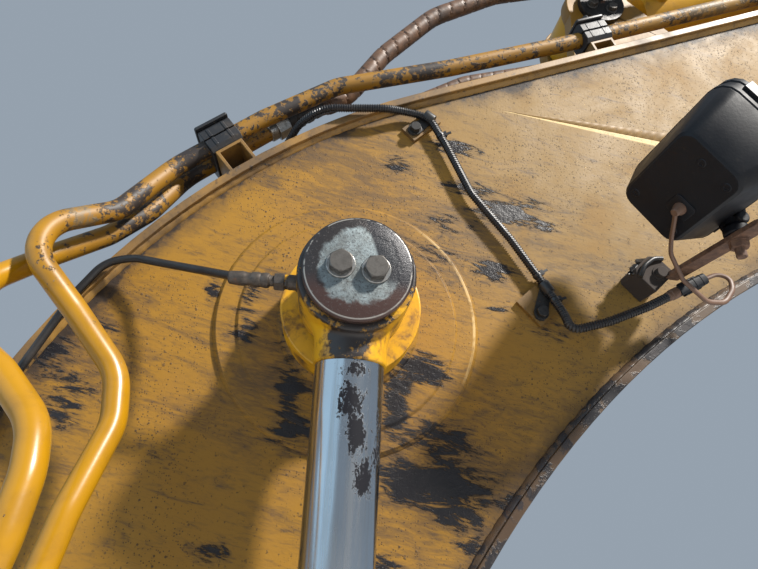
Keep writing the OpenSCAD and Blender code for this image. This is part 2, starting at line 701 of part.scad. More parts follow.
// Hoses from the inner pipes to the arm cylinder
port_x = 190;
arm_base = on_top(arm_pin_s, arm_pin_h);
arm_dir = top_front + arm_rise;
arm_port = arm_base + dir(arm_dir) * port_x;
port_y = arm_barrel_d / 2 + 22;
function hose_route() = concat([by_crown(inner_end + soft_gap, -inner_y, crown_h)],
  [by_crown(180, -inner_y, crown_h), by_crown(259, -inner_y, 60), by_crown(395, -146, 108),
   by_crown(554, -144, 134), by_crown(716, -142, 110), by_crown(914, -142, 28)],
  [at3(arm_port - dir(arm_dir) * 60, -port_y - 50), at3(arm_port, -port_y - 50),
   at3(arm_port, -port_y - soft_gap)]);
module arm_hose_right() {
  color("saddlebrown") boom_frame() soft_tube(hose_route(), hose_d, 150, 12);
}
module arm_hose_left() { left_side() arm_hose_right(); }

// Grease hoses from the lift cylinders' eyes to the boom
fitting_x = 105;
grease_y = half_w + grease_d / 2 + 0.5;
function from_rest(x, z) = [x * cos(boom_slope) + z * sin(boom_slope),
  -x * sin(boom_slope) + z * cos(boom_slope)];
function grease_route() = concat([at3(lift + from_rest(-fitting_x - soft_gap, 2), -cyl_y)],
  [at3(lift + from_rest(-fitting_x - 34, 2), -cyl_y), near_lift(-129, -300, 177)],
  [top3(-558, -77, -lip_y - 32), top3(-577, -36, -lip_y - 18), top3(-610, -8, -lip_y - 14),
   top3(-670, -8, -lip_y - grease_d / 2 - 2), top3(-800, -24, -lip_y - grease_d / 2 - 2),
   top3(-920, -34, -lip_y + 2), top3(-1100, -36, -grease_y), top3(-2100, -36, -grease_y)]);
module grease_hose_right() {
  color("black") boom_frame() soft_tube(grease_route(), grease_d, 40, 10);
}
module grease_hose_left() { left_side() grease_hose_right(); }

// The lift cylinders hang straight down from the lift pin
lift_row = [lift_x * cos(boom_slope) - lift_z * sin(boom_slope), 0,
  lift_x * sin(boom_slope) + lift_z * cos(boom_slope)];
gland_top = neck_l + 46;
rod_in = gland_top + stroke + gland_l + piston_l + 20;
base_l = closed_l + rest_ext;
module hang(d) { translate(lift_row + [0, -cyl_y, -d]) children(); }
module tube_y(d, y0, y1) {
  translate([0, y0, 0]) rotate([-90, 0, 0]) cylinder(d = d, h = y1 - y0, $fn = 48);
}
module lift_eye_right() {
  color("gold") hang(0) difference() {
    union() {
      tube_y(eye_d, -eye_w / 2, eye_w / 2);
      flared_neck(eye_d / 2, neck_d / 2 - 4, neck_l, eye_w);
      translate([-fitting_x, 0, 2]) rotate([0, 90, 0]) cylinder(d = 20, h = 40, $fn = 24);
    }
    tube_y(lift_pin_d + 2 * run, -eye_w, eye_w);
  }
}
module lift_eye_left() { left_side() lift_eye_right(); }
module lift_rod_right() {
  color("silver") {
    hang(rod_in) cylinder(d = rod_d, h = rod_in - neck_l - seam, $fn = 48);
    hang(rod_in) cylinder(d = lift_bore - 2 * run, h = piston_l, $fn = 48);
  }
}
module lift_rod_left() { left_side() lift_rod_right(); }
barrel_top = gland_top + rest_ext;
barrel_l = base_l - barrel_top;
// The feed pipe along a barrel and the blocks at its ends
feed_d = 24;
feed_out = 14;
feed_w = 44;
feed_l = 50;
port_z = 120;
module lift_barrel_right() {
  color("gold") hang(base_l) difference() {
    union() {
      tube_y(eye_d, -eye_w / 2, eye_w / 2);
      translate([0, 0, eye_d / 2 - 16])
        cylinder(d = barrel_d, h = barrel_l - gland_l * 0.6 - eye_d / 2 + 16, $fn = 48);
      translate([barrel_d / 2 + feed_out, 0, port_z + 30])
        cylinder(d = feed_d, h = barrel_l - gland_l - port_z - 70, $fn = 24);
      translate([0, -feed_w / 2, port_z]) cube([barrel_d / 2 + 34, feed_w, feed_l]);
      translate([0, -feed_w / 2, barrel_l - gland_l - 90]) cube([barrel_d / 2 + 34, feed_w, feed_l]);
    }
    tube_y(lift_pin_d, -eye_w, eye_w);
    translate([0, 0, eye_d / 2 + 20]) cylinder(d = lift_bore, h = base_l, $fn = 48);
  }
}
module lift_barrel_left() { left_side() lift_barrel_right(); }
module lift_gland_right() {
  color("gold") hang(barrel_top + gland_l) difference() {
    union() {
      translate([0, 0, gland_l * 0.4 + seam]) cylinder(d = gland_d, h = gland_l * 0.5, $fn = 48);
      translate([0, 0, gland_l * 0.9]) cylinder(d = gland_d - 30, h = gland_l * 0.1, $fn = 48);
      cylinder(d = lift_bore - 2 * run, h = gland_l, $fn = 48);
    }
    translate([0, 0, -1]) cylinder(d = rod_d + 2 * run, h = gland_l + 2, $fn = 48);
  }
}
module lift_gland_left() { left_side() lift_gland_right(); }

// The arm cylinder, from its bracket toward the tip
arm_neck = 120;
arm_gland_l = 120;
arm_gland_top = arm_closed_l - arm_neck - 30;
arm_total = arm_closed_l + arm_rest_ext;
arm_barrel_end = arm_gland_top - arm_gland_l;
arm_start = lug_r + 48;
port_d = hose_d + 14;
feed_x = port_x + hose_d / 2 + 3;
module arm_line(d) {
  boom_frame() translate(at3(arm_base, 0)) rotate([0, 90 - arm_dir, 0])
    translate([0, 0, d]) children();
}
module arm_cyl_eye() {
  color("gold") arm_line(arm_total) difference() {
    union() {
      tube_y(arm_eye_d, -arm_eye_w / 2, arm_eye_w / 2);
      flared_neck(arm_eye_d / 2, arm_rod_d / 2 + 5, arm_neck, arm_eye_w);
    }
    tube_y(arm_pin_d, -arm_eye_w, arm_eye_w);
  }
}
arm_rod_in = arm_stroke + arm_gland_l + 180;
module arm_cyl_rod() {
  color("silver") arm_line(arm_total - arm_neck - arm_rod_in) {
    cylinder(d = arm_rod_d, h = arm_rod_in - seam, $fn = 48);
    cylinder(d = arm_bore - 2 * run, h = piston_l, $fn = 48);
  }
}
module arm_cyl_barrel() {
  color("gold") arm_line(0) difference() {
    union() {
      tube_y(arm_eye_d, -arm_eye_w / 2, arm_eye_w / 2);
      cylinder(d = arm_eye_w - 4, h = arm_start + 10, $fn = 48);
      translate([0, 0, arm_start])
        cylinder(d = arm_barrel_d, h = arm_barrel_end + arm_gland_l * 0.4 - arm_start, $fn = 48);
      translate([0, -port_y, port_x]) rotate([-90, 0, 0])
        cylinder(d = port_d, h = 2 * port_y, $fn = 32);
      translate([0, arm_barrel_d / 2 + feed_out, feed_x])
        cylinder(d = feed_d, h = arm_barrel_end - feed_l - feed_x, $fn = 24);
      translate([-feed_w / 2, 0, arm_barrel_end - 90])
        cube([feed_w, arm_barrel_d / 2 + 34, feed_l]);
    }
    tube_y(arm_pin_d + 2 * run, -arm_eye_w, arm_eye_w);
    translate([0, 0, arm_start + 20]) cylinder(d = arm_bore, h = arm_total, $fn = 48);
  }
}
module arm_cyl_gland() {
  color("gold") arm_line(arm_barrel_end) difference() {
    union() {
      translate([0, 0, arm_gland_l * 0.4 + seam])
        cylinder(d = arm_gland_d, h = arm_gland_l * 0.5, $fn = 48);
      translate([0, 0, arm_gland_l * 0.9])
        cylinder(d = arm_gland_d - 30, h = arm_gland_l * 0.1, $fn = 48);
      cylinder(d = arm_bore - 2 * run, h = arm_gland_l, $fn = 48);
    }
    translate([0, 0, -1]) cylinder(d = arm_rod_d + 2 * run, h = arm_gland_l + 2, $fn = 48);
  }
}

side_plate_right();
side_plate_left();
top_plate();
belly_plate();
foot_boss();
tip_bulkhead();
tip_ears();
lift_boss();
boss_rings_right();
boss_rings_left();
lift_pin();
pin_cap_right();
pin_cap_left();
arm_bracket();
arm_pin();
inner_pipe_right();
inner_pipe_left();
outer_pipe_right();
outer_pipe_left();
clamp_blocks();
clamp_brackets();
loom();
loom_clips();
loom_plug();
lamp_housing();
lamp_glass();
lamp_bar();
arm_hose_right();
arm_hose_left();
grease_hose_right();
grease_hose_left();
lift_eye_right();
lift_eye_left();
lift_rod_right();
lift_rod_left();
lift_barrel_right();
lift_barrel_left();
lift_gland_right();
lift_gland_left();
arm_cyl_eye();
arm_cyl_rod();
arm_cyl_barrel();
arm_cyl_gland();
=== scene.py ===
"""Looks of an excavator boom with its cylinders, pipes, wiring and work lamp."""
import functools
import json
import math
import random

import bmesh
import bpy
from mathutils import Matrix, Vector


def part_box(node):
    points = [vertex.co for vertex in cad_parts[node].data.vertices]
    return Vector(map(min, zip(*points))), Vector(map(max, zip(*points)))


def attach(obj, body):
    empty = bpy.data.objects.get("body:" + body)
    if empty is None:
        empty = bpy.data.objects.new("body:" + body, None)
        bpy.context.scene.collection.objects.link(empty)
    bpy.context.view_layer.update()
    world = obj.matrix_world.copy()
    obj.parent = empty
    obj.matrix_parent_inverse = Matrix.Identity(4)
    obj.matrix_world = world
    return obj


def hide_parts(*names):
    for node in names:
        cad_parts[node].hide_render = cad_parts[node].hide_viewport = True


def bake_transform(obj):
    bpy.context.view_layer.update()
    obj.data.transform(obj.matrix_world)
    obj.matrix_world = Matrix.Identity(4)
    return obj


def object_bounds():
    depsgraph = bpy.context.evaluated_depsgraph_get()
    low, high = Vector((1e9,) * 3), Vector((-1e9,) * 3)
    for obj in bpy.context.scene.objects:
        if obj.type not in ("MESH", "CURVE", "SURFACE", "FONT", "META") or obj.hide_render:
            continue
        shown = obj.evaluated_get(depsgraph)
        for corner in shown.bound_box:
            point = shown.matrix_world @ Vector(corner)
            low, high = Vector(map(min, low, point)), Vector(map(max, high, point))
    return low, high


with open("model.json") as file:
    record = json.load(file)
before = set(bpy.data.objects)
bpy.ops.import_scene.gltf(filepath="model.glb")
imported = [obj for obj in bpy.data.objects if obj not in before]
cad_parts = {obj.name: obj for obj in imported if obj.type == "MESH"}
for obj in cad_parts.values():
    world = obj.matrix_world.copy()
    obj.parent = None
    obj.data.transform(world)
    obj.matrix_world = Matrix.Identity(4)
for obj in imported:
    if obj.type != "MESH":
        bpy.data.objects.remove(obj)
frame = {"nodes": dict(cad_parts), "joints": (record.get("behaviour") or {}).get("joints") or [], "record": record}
cad_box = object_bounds()

# Sizes in metres. Those of CAD pieces are the same as in the part's source.
# Boom
BOX_W = 0.430
SIDE_T = 0.009
FLANGE_T = 0.014
FLANGE_OVER = 0.015
HALF_W = BOX_W / 2
LIP_Y = HALF_W + FLANGE_OVER
CROWN = (-0.191, 0.468)
CROWN_R = 1.130
BELLY = (0.128, -0.274)
BELLY_R = 1.490
FOOT_END_R = 0.130
TIP_END_R = 0.135
FORK_L = 0.420
FOOT_BOSS_R = 0.100
FOOT_W = 0.446
DOUBLER_TOP = 0.0202
TIP_NIPPLE_UP = 0.080
FOOT_BUSH = (0.0452, 0.056, 0.0300)
TIP_BUSH = (0.0402, 0.050, 0.0282)
WELD_STEP = 0.0042
# Lift pin, its boss and its caps
BOSS_R = 0.100
RING_R = 0.200
RING_T = 0.008
INNER_RING_R = 0.1665
INNER_RING_T = 0.005
EYE_W = 0.110
CAP_R = 0.0675
CAP_T = 0.014
CAP_EDGE = 0.003
CAP_TURN = math.radians(5)
CAP_BOLT_PITCH = 0.043
CAP_BOLT_AF = 0.027
CAP_BOLT_H = 0.011
WASHER_R = 0.018
WASHER_T = 0.003
# Pipes and clamps
PIPE_R = 0.016
PIPE_H = 0.056
CROWN_H = 0.078
PIPE_Y = 0.195
PIPE_PITCH = 0.046
INNER_Y = PIPE_Y - PIPE_PITCH
SIDE_PITCH = 0.052
CLAMP_L = 0.060
BLOCK_R = 0.026
BLOCK_ROUND = 0.008
BLOCK_GAP = 0.0012
RIB_AT = 0.5
RIB_HALF_W = 0.003
COVER_T = 0.005
COVER_LIP = 0.002
SADDLE_T = 0.006
SADDLE_IN = 0.004
REAR_CLAMPS = (0.060, -0.200)
# Hoses, loom and lead
HOSE_R = 0.019
GUARD_SIDES = 20
GUARD_PITCH = 0.034
GUARD_GAP = 0.0035
GUARD_WALL = 0.0012
GUARD_START = 0.115
GUARD_END = 0.075
GREASE_R = 0.006
FITTING_X = 0.105
LOOM_R = 0.0065
CLIP_T = 0.008
LEAD_WIDE = 0.0045
LEAD_THICK = 0.0031
LEAD_SIDES = 14
END_GAP = 0.0003
FACE_GAP = 0.0001
# Lamp, its bar and the bar's foot
LAMP_W = 0.210
LAMP_H = 0.148
LAMP_L = 0.104
LAMP_TAPER = 0.71
LAMP_RIM = 0.030
LAMP_CORNER = 0.028
LAMP_STEP = 0.985
LAMP_BACK_SCREWS = ((-0.052, 0.006), (-0.052, -0.037), (0.052, 0.037), (0.052, -0.037))
LAMP_LENS_EDGE = 0.020
LEAD_AT = (0.016, -0.020)
LAMP_BAR_W = 0.026
LAMP_BAR_T = 0.008
BAR_PAST = 0.050
FOOT_L = 0.052
FOOT_H = 0.048
FOOT_OUT = 0.050
FOOT_WIRE = (
    (-0.002, -0.003, 0.034), (0.018, -0.0045, 0.042), (0.040, -0.004, 0.040), (0.054, -0.001, 0.030)
)
TAPE_STRIPS = 7
# Lift cylinders, and screws and wipers of all of them
BASE_EYE_R = 0.074
BASE_NECK_HALF = 0.020
BARREL_R = 0.0725
TUBE_OUT = 0.014
BAND_R = (0.0722, 0.0752)
BAND_HALF_W = 0.012
BAND_FIRST = 0.450
BAND_PITCH = 0.320
LIFT_SCREWS_R = 0.0765
LIFT_WIPER = (0.0426, 0.052)
GLAND_FLANGE_T = 0.012
GLAND_SCREWS = 10
GLAND_SCREW_D = 0.012
GLAND_SCREW_H = 0.009
WIPER_SINK = -0.001
WIPER_H = 0.004
# Arm cylinder and its bracket
ARM_BARREL_L = 1.950
ARM_GLAND_L = 0.120
ARM_SCREWS_R = 0.0840
ARM_WIPER = (0.0476, 0.058)
PORT = 0.190
ARM_EAR_IN = 0.055
ARM_EAR_T = 0.035
ARM_PIN_PLATE_T = 0.014
ARM_PIN_BOLTS_R = 0.027
ARM_BRACKET_S = 0.600
ARM_BRACKET_HALF = 0.150

# The sides, with the way out of each and the way to mirror the right one
SIDES = ("right", "left")
OUTWARD = (("right", -1), ("left", 1))
MIRRORED = (("right", 1), ("left", -1))

# Places that come with the frame
joints = {j["name"]: j for j in frame["joints"]}
mounts = {m["name"]: m for m in frame["record"]["mounts"]}
LIFT = Vector(joints["lift_swing_right"]["pos_m"])
CYL_Y = -LIFT.y
CAP_Y = CYL_Y + EYE_W / 2 + 0.004
TIP = Vector(mounts["boom_tip"]["pos_m"])
ARM_PIN = Vector(joints["arm_cylinder_swing"]["pos_m"])
ARM_AXIS = Vector(joints["arm_cylinder_slide"]["axis"])
SLOPE = math.atan2(TIP.z, TIP.x)
ALONG = Vector((math.cos(SLOPE), 0, math.sin(SLOPE)))
ABOVE = Vector((-math.sin(SLOPE), 0, math.cos(SLOPE)))
LIFT_X = LIFT.dot(ALONG)
LIFT_Z = LIFT.dot(ABOVE)
BOOM_L = TIP.length


def chord(x, y, z):
    """A point given along and above the line from foot pin to tip pin."""
    return ALONG * x + ABOVE * z + Vector((0, y, 0))


def near(x, y, z):
    """The same, measured from the lift pin."""
    return chord(LIFT_X + x, y, LIFT_Z + z)


def at_lift_pin(y):
    return Vector((LIFT.x, y, LIFT.z))


def with_y(p, y):
    return Vector((p.x, y, p.z))


def sideways(sign):
    return Vector((0, sign, 0))


def heading(a):
    return Vector((math.cos(a), math.sin(a)))


class Bend:
    """An outline of the boom: a line from the foot, an arc and a line to the tip."""

    def __init__(self, corner, r, side):
        corner = Vector((LIFT_X + corner[0], LIFT_Z + corner[1]))
        self.r = r
        foot, tip = -corner, Vector((BOOM_L, 0)) - corner
        rear = math.atan2(foot.y, foot.x) - side * math.asin(FOOT_END_R / foot.length)
        self.front = math.atan2(tip.y, tip.x) + side * math.asin(TIP_END_R / tip.length)
        half = ((self.front - rear) % math.tau) / 2
        inward = (heading(rear) + heading(self.front)).normalized()
        self.middle = corner + inward * r / math.sin(half)
        self.start = corner + heading(self.front) * r / math.tan(half)
        self.arc = r * (math.pi - 2 * half)
        to_tip = Vector((BOOM_L, 0)) - self.start
        self.end = math.sqrt(to_tip.length_squared - TIP_END_R ** 2) - FORK_L
        rear_l = math.sqrt(foot.length_squared - FOOT_END_R ** 2)
        self.tail = -self.arc - rear_l + r / math.tan(half)

    def slope(self, s):
        return self.front + (min(-s, self.arc) / self.r if s < 0 else 0)

    def flat(self, s, h):
        up = self.slope(s) + math.pi / 2
        if s >= 0:
            return self.start + heading(self.front) * s + heading(up) * h
        past = max(0, -s - self.arc)
        return self.middle + heading(up) * (self.r + h) - heading(self.slope(s)) * past

    def at(self, s, h, y):
        p = self.flat(s, h)
        return chord(p.x, y, p.y)

    def axes(self, s):
        """Along the outline and out of it, at s."""
        a = heading(self.slope(s))
        return chord(a.x, 0, a.y), chord(-a.y, 0, a.x)


top = Bend(CROWN, CROWN_R, 1)
belly = Bend(BELLY, BELLY_R, -1)
CROWN_S = -0.337
SIDE_Y = HALF_W + 0.040
REAR_SLOPE = math.radians(30)
SIDE_P = (-1.216, -0.495)
FRONT_S = (0.430, 1.130, 1.830, 2.480)


def clamp_pt(s, dx, h, y):
    p = top.flat(s, h) + heading(top.slope(s)) * dx
    return chord(p.x, y, p.y)


def by_crown(dx, y, h):
    return clamp_pt(CROWN_S, dx, h, y)


def side_pt(d, k, y):
    a = heading(REAR_SLOPE)
    return near(SIDE_P[0] + a.x * d - a.y * k, y, SIDE_P[1] + a.y * d + a.x * k)


# Camera, at the photograph's viewing angle
CAMERA_FROM_CAP = Vector((-0.02945, -0.62288, -0.26802))
FOCAL_PX = 570
PHOTO_W = 758
TURN, RAISE, ROLL = math.radians(5.03), math.radians(21.62), math.radians(2.7)


def make_camera():
    data = bpy.data.cameras.new("camera")
    data.sensor_width = 36
    data.lens = FOCAL_PX / PHOTO_W * data.sensor_width
    data.clip_start = 0.02
    cam = bpy.data.objects.new("camera", data)
    bpy.context.scene.collection.objects.link(cam)
    turn = Matrix.Rotation(-TURN, 4, "Z") @ Matrix.Rotation(math.pi / 2 + RAISE, 4, "X")
    cam.matrix_world = (
        Matrix.Translation(Vector((LIFT.x, -CAP_Y - CAP_T, LIFT.z)) + CAMERA_FROM_CAP)
        @ turn
        @ Matrix.Rotation(ROLL, 4, "Z")
    )
    bpy.context.scene.camera = cam


make_camera()


# Meshes
def frame_of(origin, x, y, z):
    return Matrix.Translation(Vector(origin)) @ Matrix((x, y, z)).transposed().to_4x4()


def axes_at(origin, z, x=None):
    """A frame at origin with the given z, and x as near as it can be."""
    z = Vector(z).normalized()
    if x is None:
        x = Vector((1, 0, 0)) if abs(z.x) < 0.9 else Vector((0, 1, 0))
    y = z.cross(Vector(x)).normalized()
    x = y.cross(z)
    return frame_of(origin, x, y, z)


def rounded(points, r, turn_step=math.radians(9), step=0.05):
    """The points of a path that is bent with radius r, or less where it doesn't fit."""
    points = [Vector(p) for p in points]
    path = [points[0]]
    for a, b, c in zip(points, points[1:], points[2:]):
        u, v = (b - a).normalized(), (c - b).normalized()
        turn = math.acos(max(-1, min(1, u.dot(v))))
        if turn < math.radians(0.5):
            path.append(b)
            continue
        fit = min(r, 0.48 * min((b - a).length, (c - b).length) / math.tan(turn / 2))
        back = fit * math.tan(turn / 2)
        n = (v - u * u.dot(v)).normalized()
        middle = b - u * back + n * fit
        count = max(2, math.ceil(turn / turn_step))
        for i in range(count + 1):
            t = turn * i / count
            path.append(middle - n * fit * math.cos(t) + u * fit * math.sin(t))
    path.append(points[-1])
    filled = [path[0]]
    for p in path[1:]:
        gap = (p - filled[-1]).length
        if gap < 1e-6:
            continue
        start, count = filled[-1], max(1, math.ceil(gap / step))
        filled += [start.lerp(p, (i + 1) / count) for i in range(count)]
    return filled


def length_of(path):
    return sum((b - a).length for a, b in zip(path, path[1:]))


def even(path, step):
    """The same path in even steps of about step."""
    total = length_of(path)
    count = max(1, round(total / step))
    out, want, done, k = [path[0].copy()], total / count, 0.0, 1
    for a, b in zip(path, path[1:]):
        gap = (b - a).length
        while k < count and want * k <= done + gap:
            out.append(a.lerp(b, (want * k - done) / gap))
            k += 1
        done += gap
    out.append(path[-1].copy())
    return out


def carried(path):
    """A frame at each point of a path, turned as little as possible from one to the next."""
    tangents = []
    for i in range(len(path)):
        a, b = path[max(0, i - 1)], path[min(len(path) - 1, i + 1)]
        tangents.append((b - a).normalized())
    x = tangents[0].orthogonal().normalized()
    frames = []
    for p, t in zip(path, tangents):
        x = (x - t * t.dot(x)).normalized()
        frames.append((p, x, t.cross(x)))
    return frames


def round_edges(obj, width, segments=2):
    edge = obj.modifiers.new("bevel", "BEVEL")
    edge.width = width
    edge.segments = segments
    edge.limit_method = "ANGLE"
    edge.angle_limit = math.radians(40)
    return edge


class Shape:
    """A mesh in the making. Points are given in the frame that at() sets."""

    def __init__(self):
        self.bm = bmesh.new()
        self.m = Matrix.Identity(4)

    def at(self, m):
        self.m = m
        return self

    def ring(self, points):
        return [self.bm.verts.new(self.m @ Vector(p)) for p in points]

    def band(self, a, b):
        n = len(a)
        for i in range(n):
            self.bm.faces.new((a[i], a[(i + 1) % n], b[(i + 1) % n], b[i]))

    def skin(self, rings, capped=True, closed=False):
        rows = [self.ring(r) for r in rings]
        for a, b in zip(rows, rows[1:]):
            self.band(a, b)
        if closed:
            self.band(rows[-1], rows[0])
        elif capped:
            self.bm.faces.new(rows[0][::-1])
            self.bm.faces.new(rows[-1])
        return self

    def lathe(self, profile, n=48, capped=True, closed=False):
        """profile holds (radius, height) pairs, turned round the frame's z."""
        turns = [heading(math.tau * i / n) for i in range(n)]
        return self.skin(
            [[(t.x * r, t.y * r, z) for t in turns] for r, z in profile], capped, closed
        )

    def hexagon(self, af, h, z=0.0, chamfer=0.06):
        """A hexagon head with its corners turned off on top."""
        r = af / math.sqrt(3)
        n, flat = 24, af / 2

        def edge(limit):
            out = []
            for i in range(n):
                a = math.tau * i / n
                near_flat = (a + math.pi / 6) % (math.pi / 3) - math.pi / 6
                out.append((min(flat / math.cos(near_flat), limit), a))
            return out

        def row(limit, height):
            return [(q * math.cos(a), q * math.sin(a), height) for q, a in edge(limit)]

        top_r = flat * 0.97
        return self.skin([
            row(r, z), row(r, z + h * 0.86), row(r * (1 - chamfer), z + h * 0.94),
            row(top_r, z + h), row(top_r * 0.6, z + h),
        ])

    def tube(self, path, r, sides=16):
        """r is a number, or a function of the point's place in the path."""
        turns = [heading(math.tau * i / sides) for i in range(sides)]
        rings = []
        for k, (p, x, y) in enumerate(carried(path)):
            q = r(k) if callable(r) else r
            rings.append([p + (x * t.x + y * t.y) * q for t in turns])
        return self.skin(rings)

    def prism(self, outline, z0, z1):
        """outline holds (x, y) pairs."""
        return self.skin([[(x, y, z) for x, y in outline] for z in (z0, z1)])

    def box(self, low, high):
        (x0, y0, z0), (x1, y1, z1) = low, high
        return self.prism([(x0, y0), (x1, y0), (x1, y1), (x0, y1)], z0, z1)

    def done(self, name, body, material, slot, bevel=0.0, smooth=32, segments=2, replaces=()):
        bmesh.ops.recalc_face_normals(self.bm, faces=self.bm.faces[:])
        mesh = bpy.data.meshes.new(name)
        self.bm.to_mesh(mesh)
        self.bm.free()
        mesh.shade_smooth()
        mesh.set_sharp_from_angle(angle=math.radians(smooth))
        obj = bpy.data.objects.new(name, mesh)
        bpy.context.scene.collection.objects.link(obj)
        if bevel:
            round_edges(obj, bevel, segments).harden_normals = True
        mesh.materials.append(material)
        if body:
            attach(obj, body)
        if replaces:
            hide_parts(*replaces)
        return obj


def rounded_rect(w, h, r, n=4):
    """The outline of a w by h rectangle with round corners, about its middle."""
    out = []
    for k, (sx, sy) in enumerate(((1, 1), (-1, 1), (-1, -1), (1, -1))):
        for i in range(n + 1):
            a = math.pi / 2 * (k + i / n)
            out.append((sx * (w / 2 - r) + r * math.cos(a), sy * (h / 2 - r) + r * math.sin(a)))
    return out


# Materials
def arithmetic(op, swapped=False):
    """An operator of Value that adds a math node."""
    return lambda a, b: a.nodes.math(op, b, a) if swapped else a.nodes.math(op, a, b)


class Value:
    """What a node gives. Adding, multiplying and so on makes more nodes."""

    def __init__(self, nodes, socket):
        self.nodes, self.socket = nodes, socket

    __add__, __radd__ = arithmetic("ADD"), arithmetic("ADD", True)
    __sub__, __rsub__ = arithmetic("SUBTRACT"), arithmetic("SUBTRACT", True)
    __mul__, __rmul__ = arithmetic("MULTIPLY"), arithmetic("MULTIPLY", True)
    __truediv__ = arithmetic("DIVIDE")

    def __abs__(self):
        return self.nodes.math("ABSOLUTE", self)


class Nodes:
    """A material in the making."""

    def __init__(self, name):
        self.mat = bpy.data.materials.new(name)
        self.mat.use_nodes = True
        self.tree = self.mat.node_tree
        self.tree.nodes.clear()
        self.shader = self.node("ShaderNodeBsdfPrincipled")
        out = self.node("ShaderNodeOutputMaterial")
        self.tree.links.new(self.shader.outputs[0], out.inputs["Surface"])
        self.place = self.value(self.node("ShaderNodeTexCoord").outputs["Object"])

    def value(self, socket):
        return Value(self, socket)

    def node(self, kind, **settings):
        n = self.tree.nodes.new(kind)
        for k, v in settings.items():
            setattr(n, k, v)
        return n

    def put(self, socket, value):
        if isinstance(value, Value):
            self.tree.links.new(value.socket, socket)
        elif value is not None:
            socket.default_value = value

    def math(self, op, a, b=0.0):
        n = self.node("ShaderNodeMath", operation=op)
        self.put(n.inputs[0], a)
        self.put(n.inputs[1], b)
        return self.value(n.outputs[0])

    def vector(self, op, a, b=(0, 0, 0)):
        n = self.node("ShaderNodeVectorMath", operation=op)
        self.put(n.inputs[0], a)
        self.put(n.inputs[1], b)
        return self.value(n.outputs["Value" if op in ("LENGTH", "DISTANCE", "DOT_PRODUCT") else 0])

    def noise(self, scale, detail=4.0, rough=0.55, at=None, stretch=None, warp=0.0):
        """Noise from 0 to 1. stretch scales the place first, so small numbers give long marks."""
        at = at or self.place
        if stretch:
            at = self.vector("MULTIPLY", at, stretch)
        n = self.node("ShaderNodeTexNoise")
        self.put(n.inputs["Vector"], at)
        for k, v in (
            ("Scale", scale), ("Detail", detail), ("Roughness", rough), ("Distortion", warp)
        ):
            n.inputs[k].default_value = v
        return self.value(n.outputs[0])

    def step(self, value, low, high, to=(0.0, 1.0)):
        """A soft step of value from low to high."""
        n = self.node("ShaderNodeMapRange", interpolation_type="SMOOTHSTEP")
        self.put(n.inputs["Value"], value)
        for k, v in (("From Min", low), ("From Max", high), ("To Min", to[0]), ("To Max", to[1])):
            self.put(n.inputs[k], v)
        return self.value(n.outputs[0])

    def mix(self, share, a, b):
        """Color a, or b by share."""
        n = self.node("ShaderNodeMix", data_type="RGBA")
        self.put(n.inputs[0], share)
        for socket, v in ((n.inputs[6], a), (n.inputs[7], b)):
            self.put(socket, (*v, 1) if isinstance(v, tuple) else v)
        return self.value(n.outputs[2])

    def most(self, *values):
        """The largest of the values."""
        return functools.reduce(lambda a, b: self.math("MAXIMUM", a, b), values)

    def spots(self, scale, size, share):
        """Round spots of about size cells, in the given share of the cells."""
        n = self.node("ShaderNodeTexVoronoi")
        self.put(n.inputs["Vector"], self.place)
        n.inputs["Scale"].default_value = scale
        chosen = self.step(
            self.split(self.value(n.outputs["Color"]))[0], 1 - share, 1 - share + 0.02
        )
        return self.step(self.value(n.outputs["Distance"]), size, size * 0.6) * chosen

    def split(self, vector):
        n = self.node("ShaderNodeSeparateXYZ")
        self.put(n.inputs[0], vector)
        return [self.value(o) for o in n.outputs]

    def blob(self, centre, size, soft=0.5):
        """1 inside an ellipsoid, falling to 0 at its surface, in the object's frame."""
        off = self.vector("SUBTRACT", self.place, tuple(centre))
        off = self.vector("DIVIDE", off, tuple(size))
        return self.step(self.vector("LENGTH", off), 1.0, 1.0 - soft)

    def bump(self, height, distance, strength=1.0, over=None):
        n = self.node("ShaderNodeBump")
        n.inputs["Strength"].default_value = strength
        n.inputs["Distance"].default_value = distance
        self.put(n.inputs["Height"], height)
        self.put(n.inputs["Normal"], over)
        return self.value(n.outputs[0])

    def finish(self, color, rough, normal=None, metal=0.0, **fixed):
        s = self.shader.inputs
        self.put(s["Base Color"], (*color, 1) if isinstance(color, tuple) else color)
        self.put(s["Roughness"], rough)
        self.put(s["Metallic"], metal)
        self.put(s["Normal"], normal)
        for k, v in fixed.items():
            s[k.replace("_", " ")].default_value = v
        return self.mat


GREASE_AND_SHADE = (0.010, 0.010, 0.013)
GRIME_AND_SHADE = (0.070, 0.042, 0.020)
RUST = (0.110, 0.050, 0.026)
OCHRE = (0.285, 0.142, 0.014)
SANDY = (0.215, 0.125, 0.030)


def from_lift_pin(m):
    """The place measured from the lift pin, level and upright."""
    return m.vector("SUBTRACT", m.place, tuple(LIFT))


# The side plate's seam: its upper end from the lift pin, its fall, length and half width
SEAM_P = (0.492, 0.133)
SEAM_DROP = math.radians(50)
SEAM_L = 0.800
SEAM_HALF = 0.020

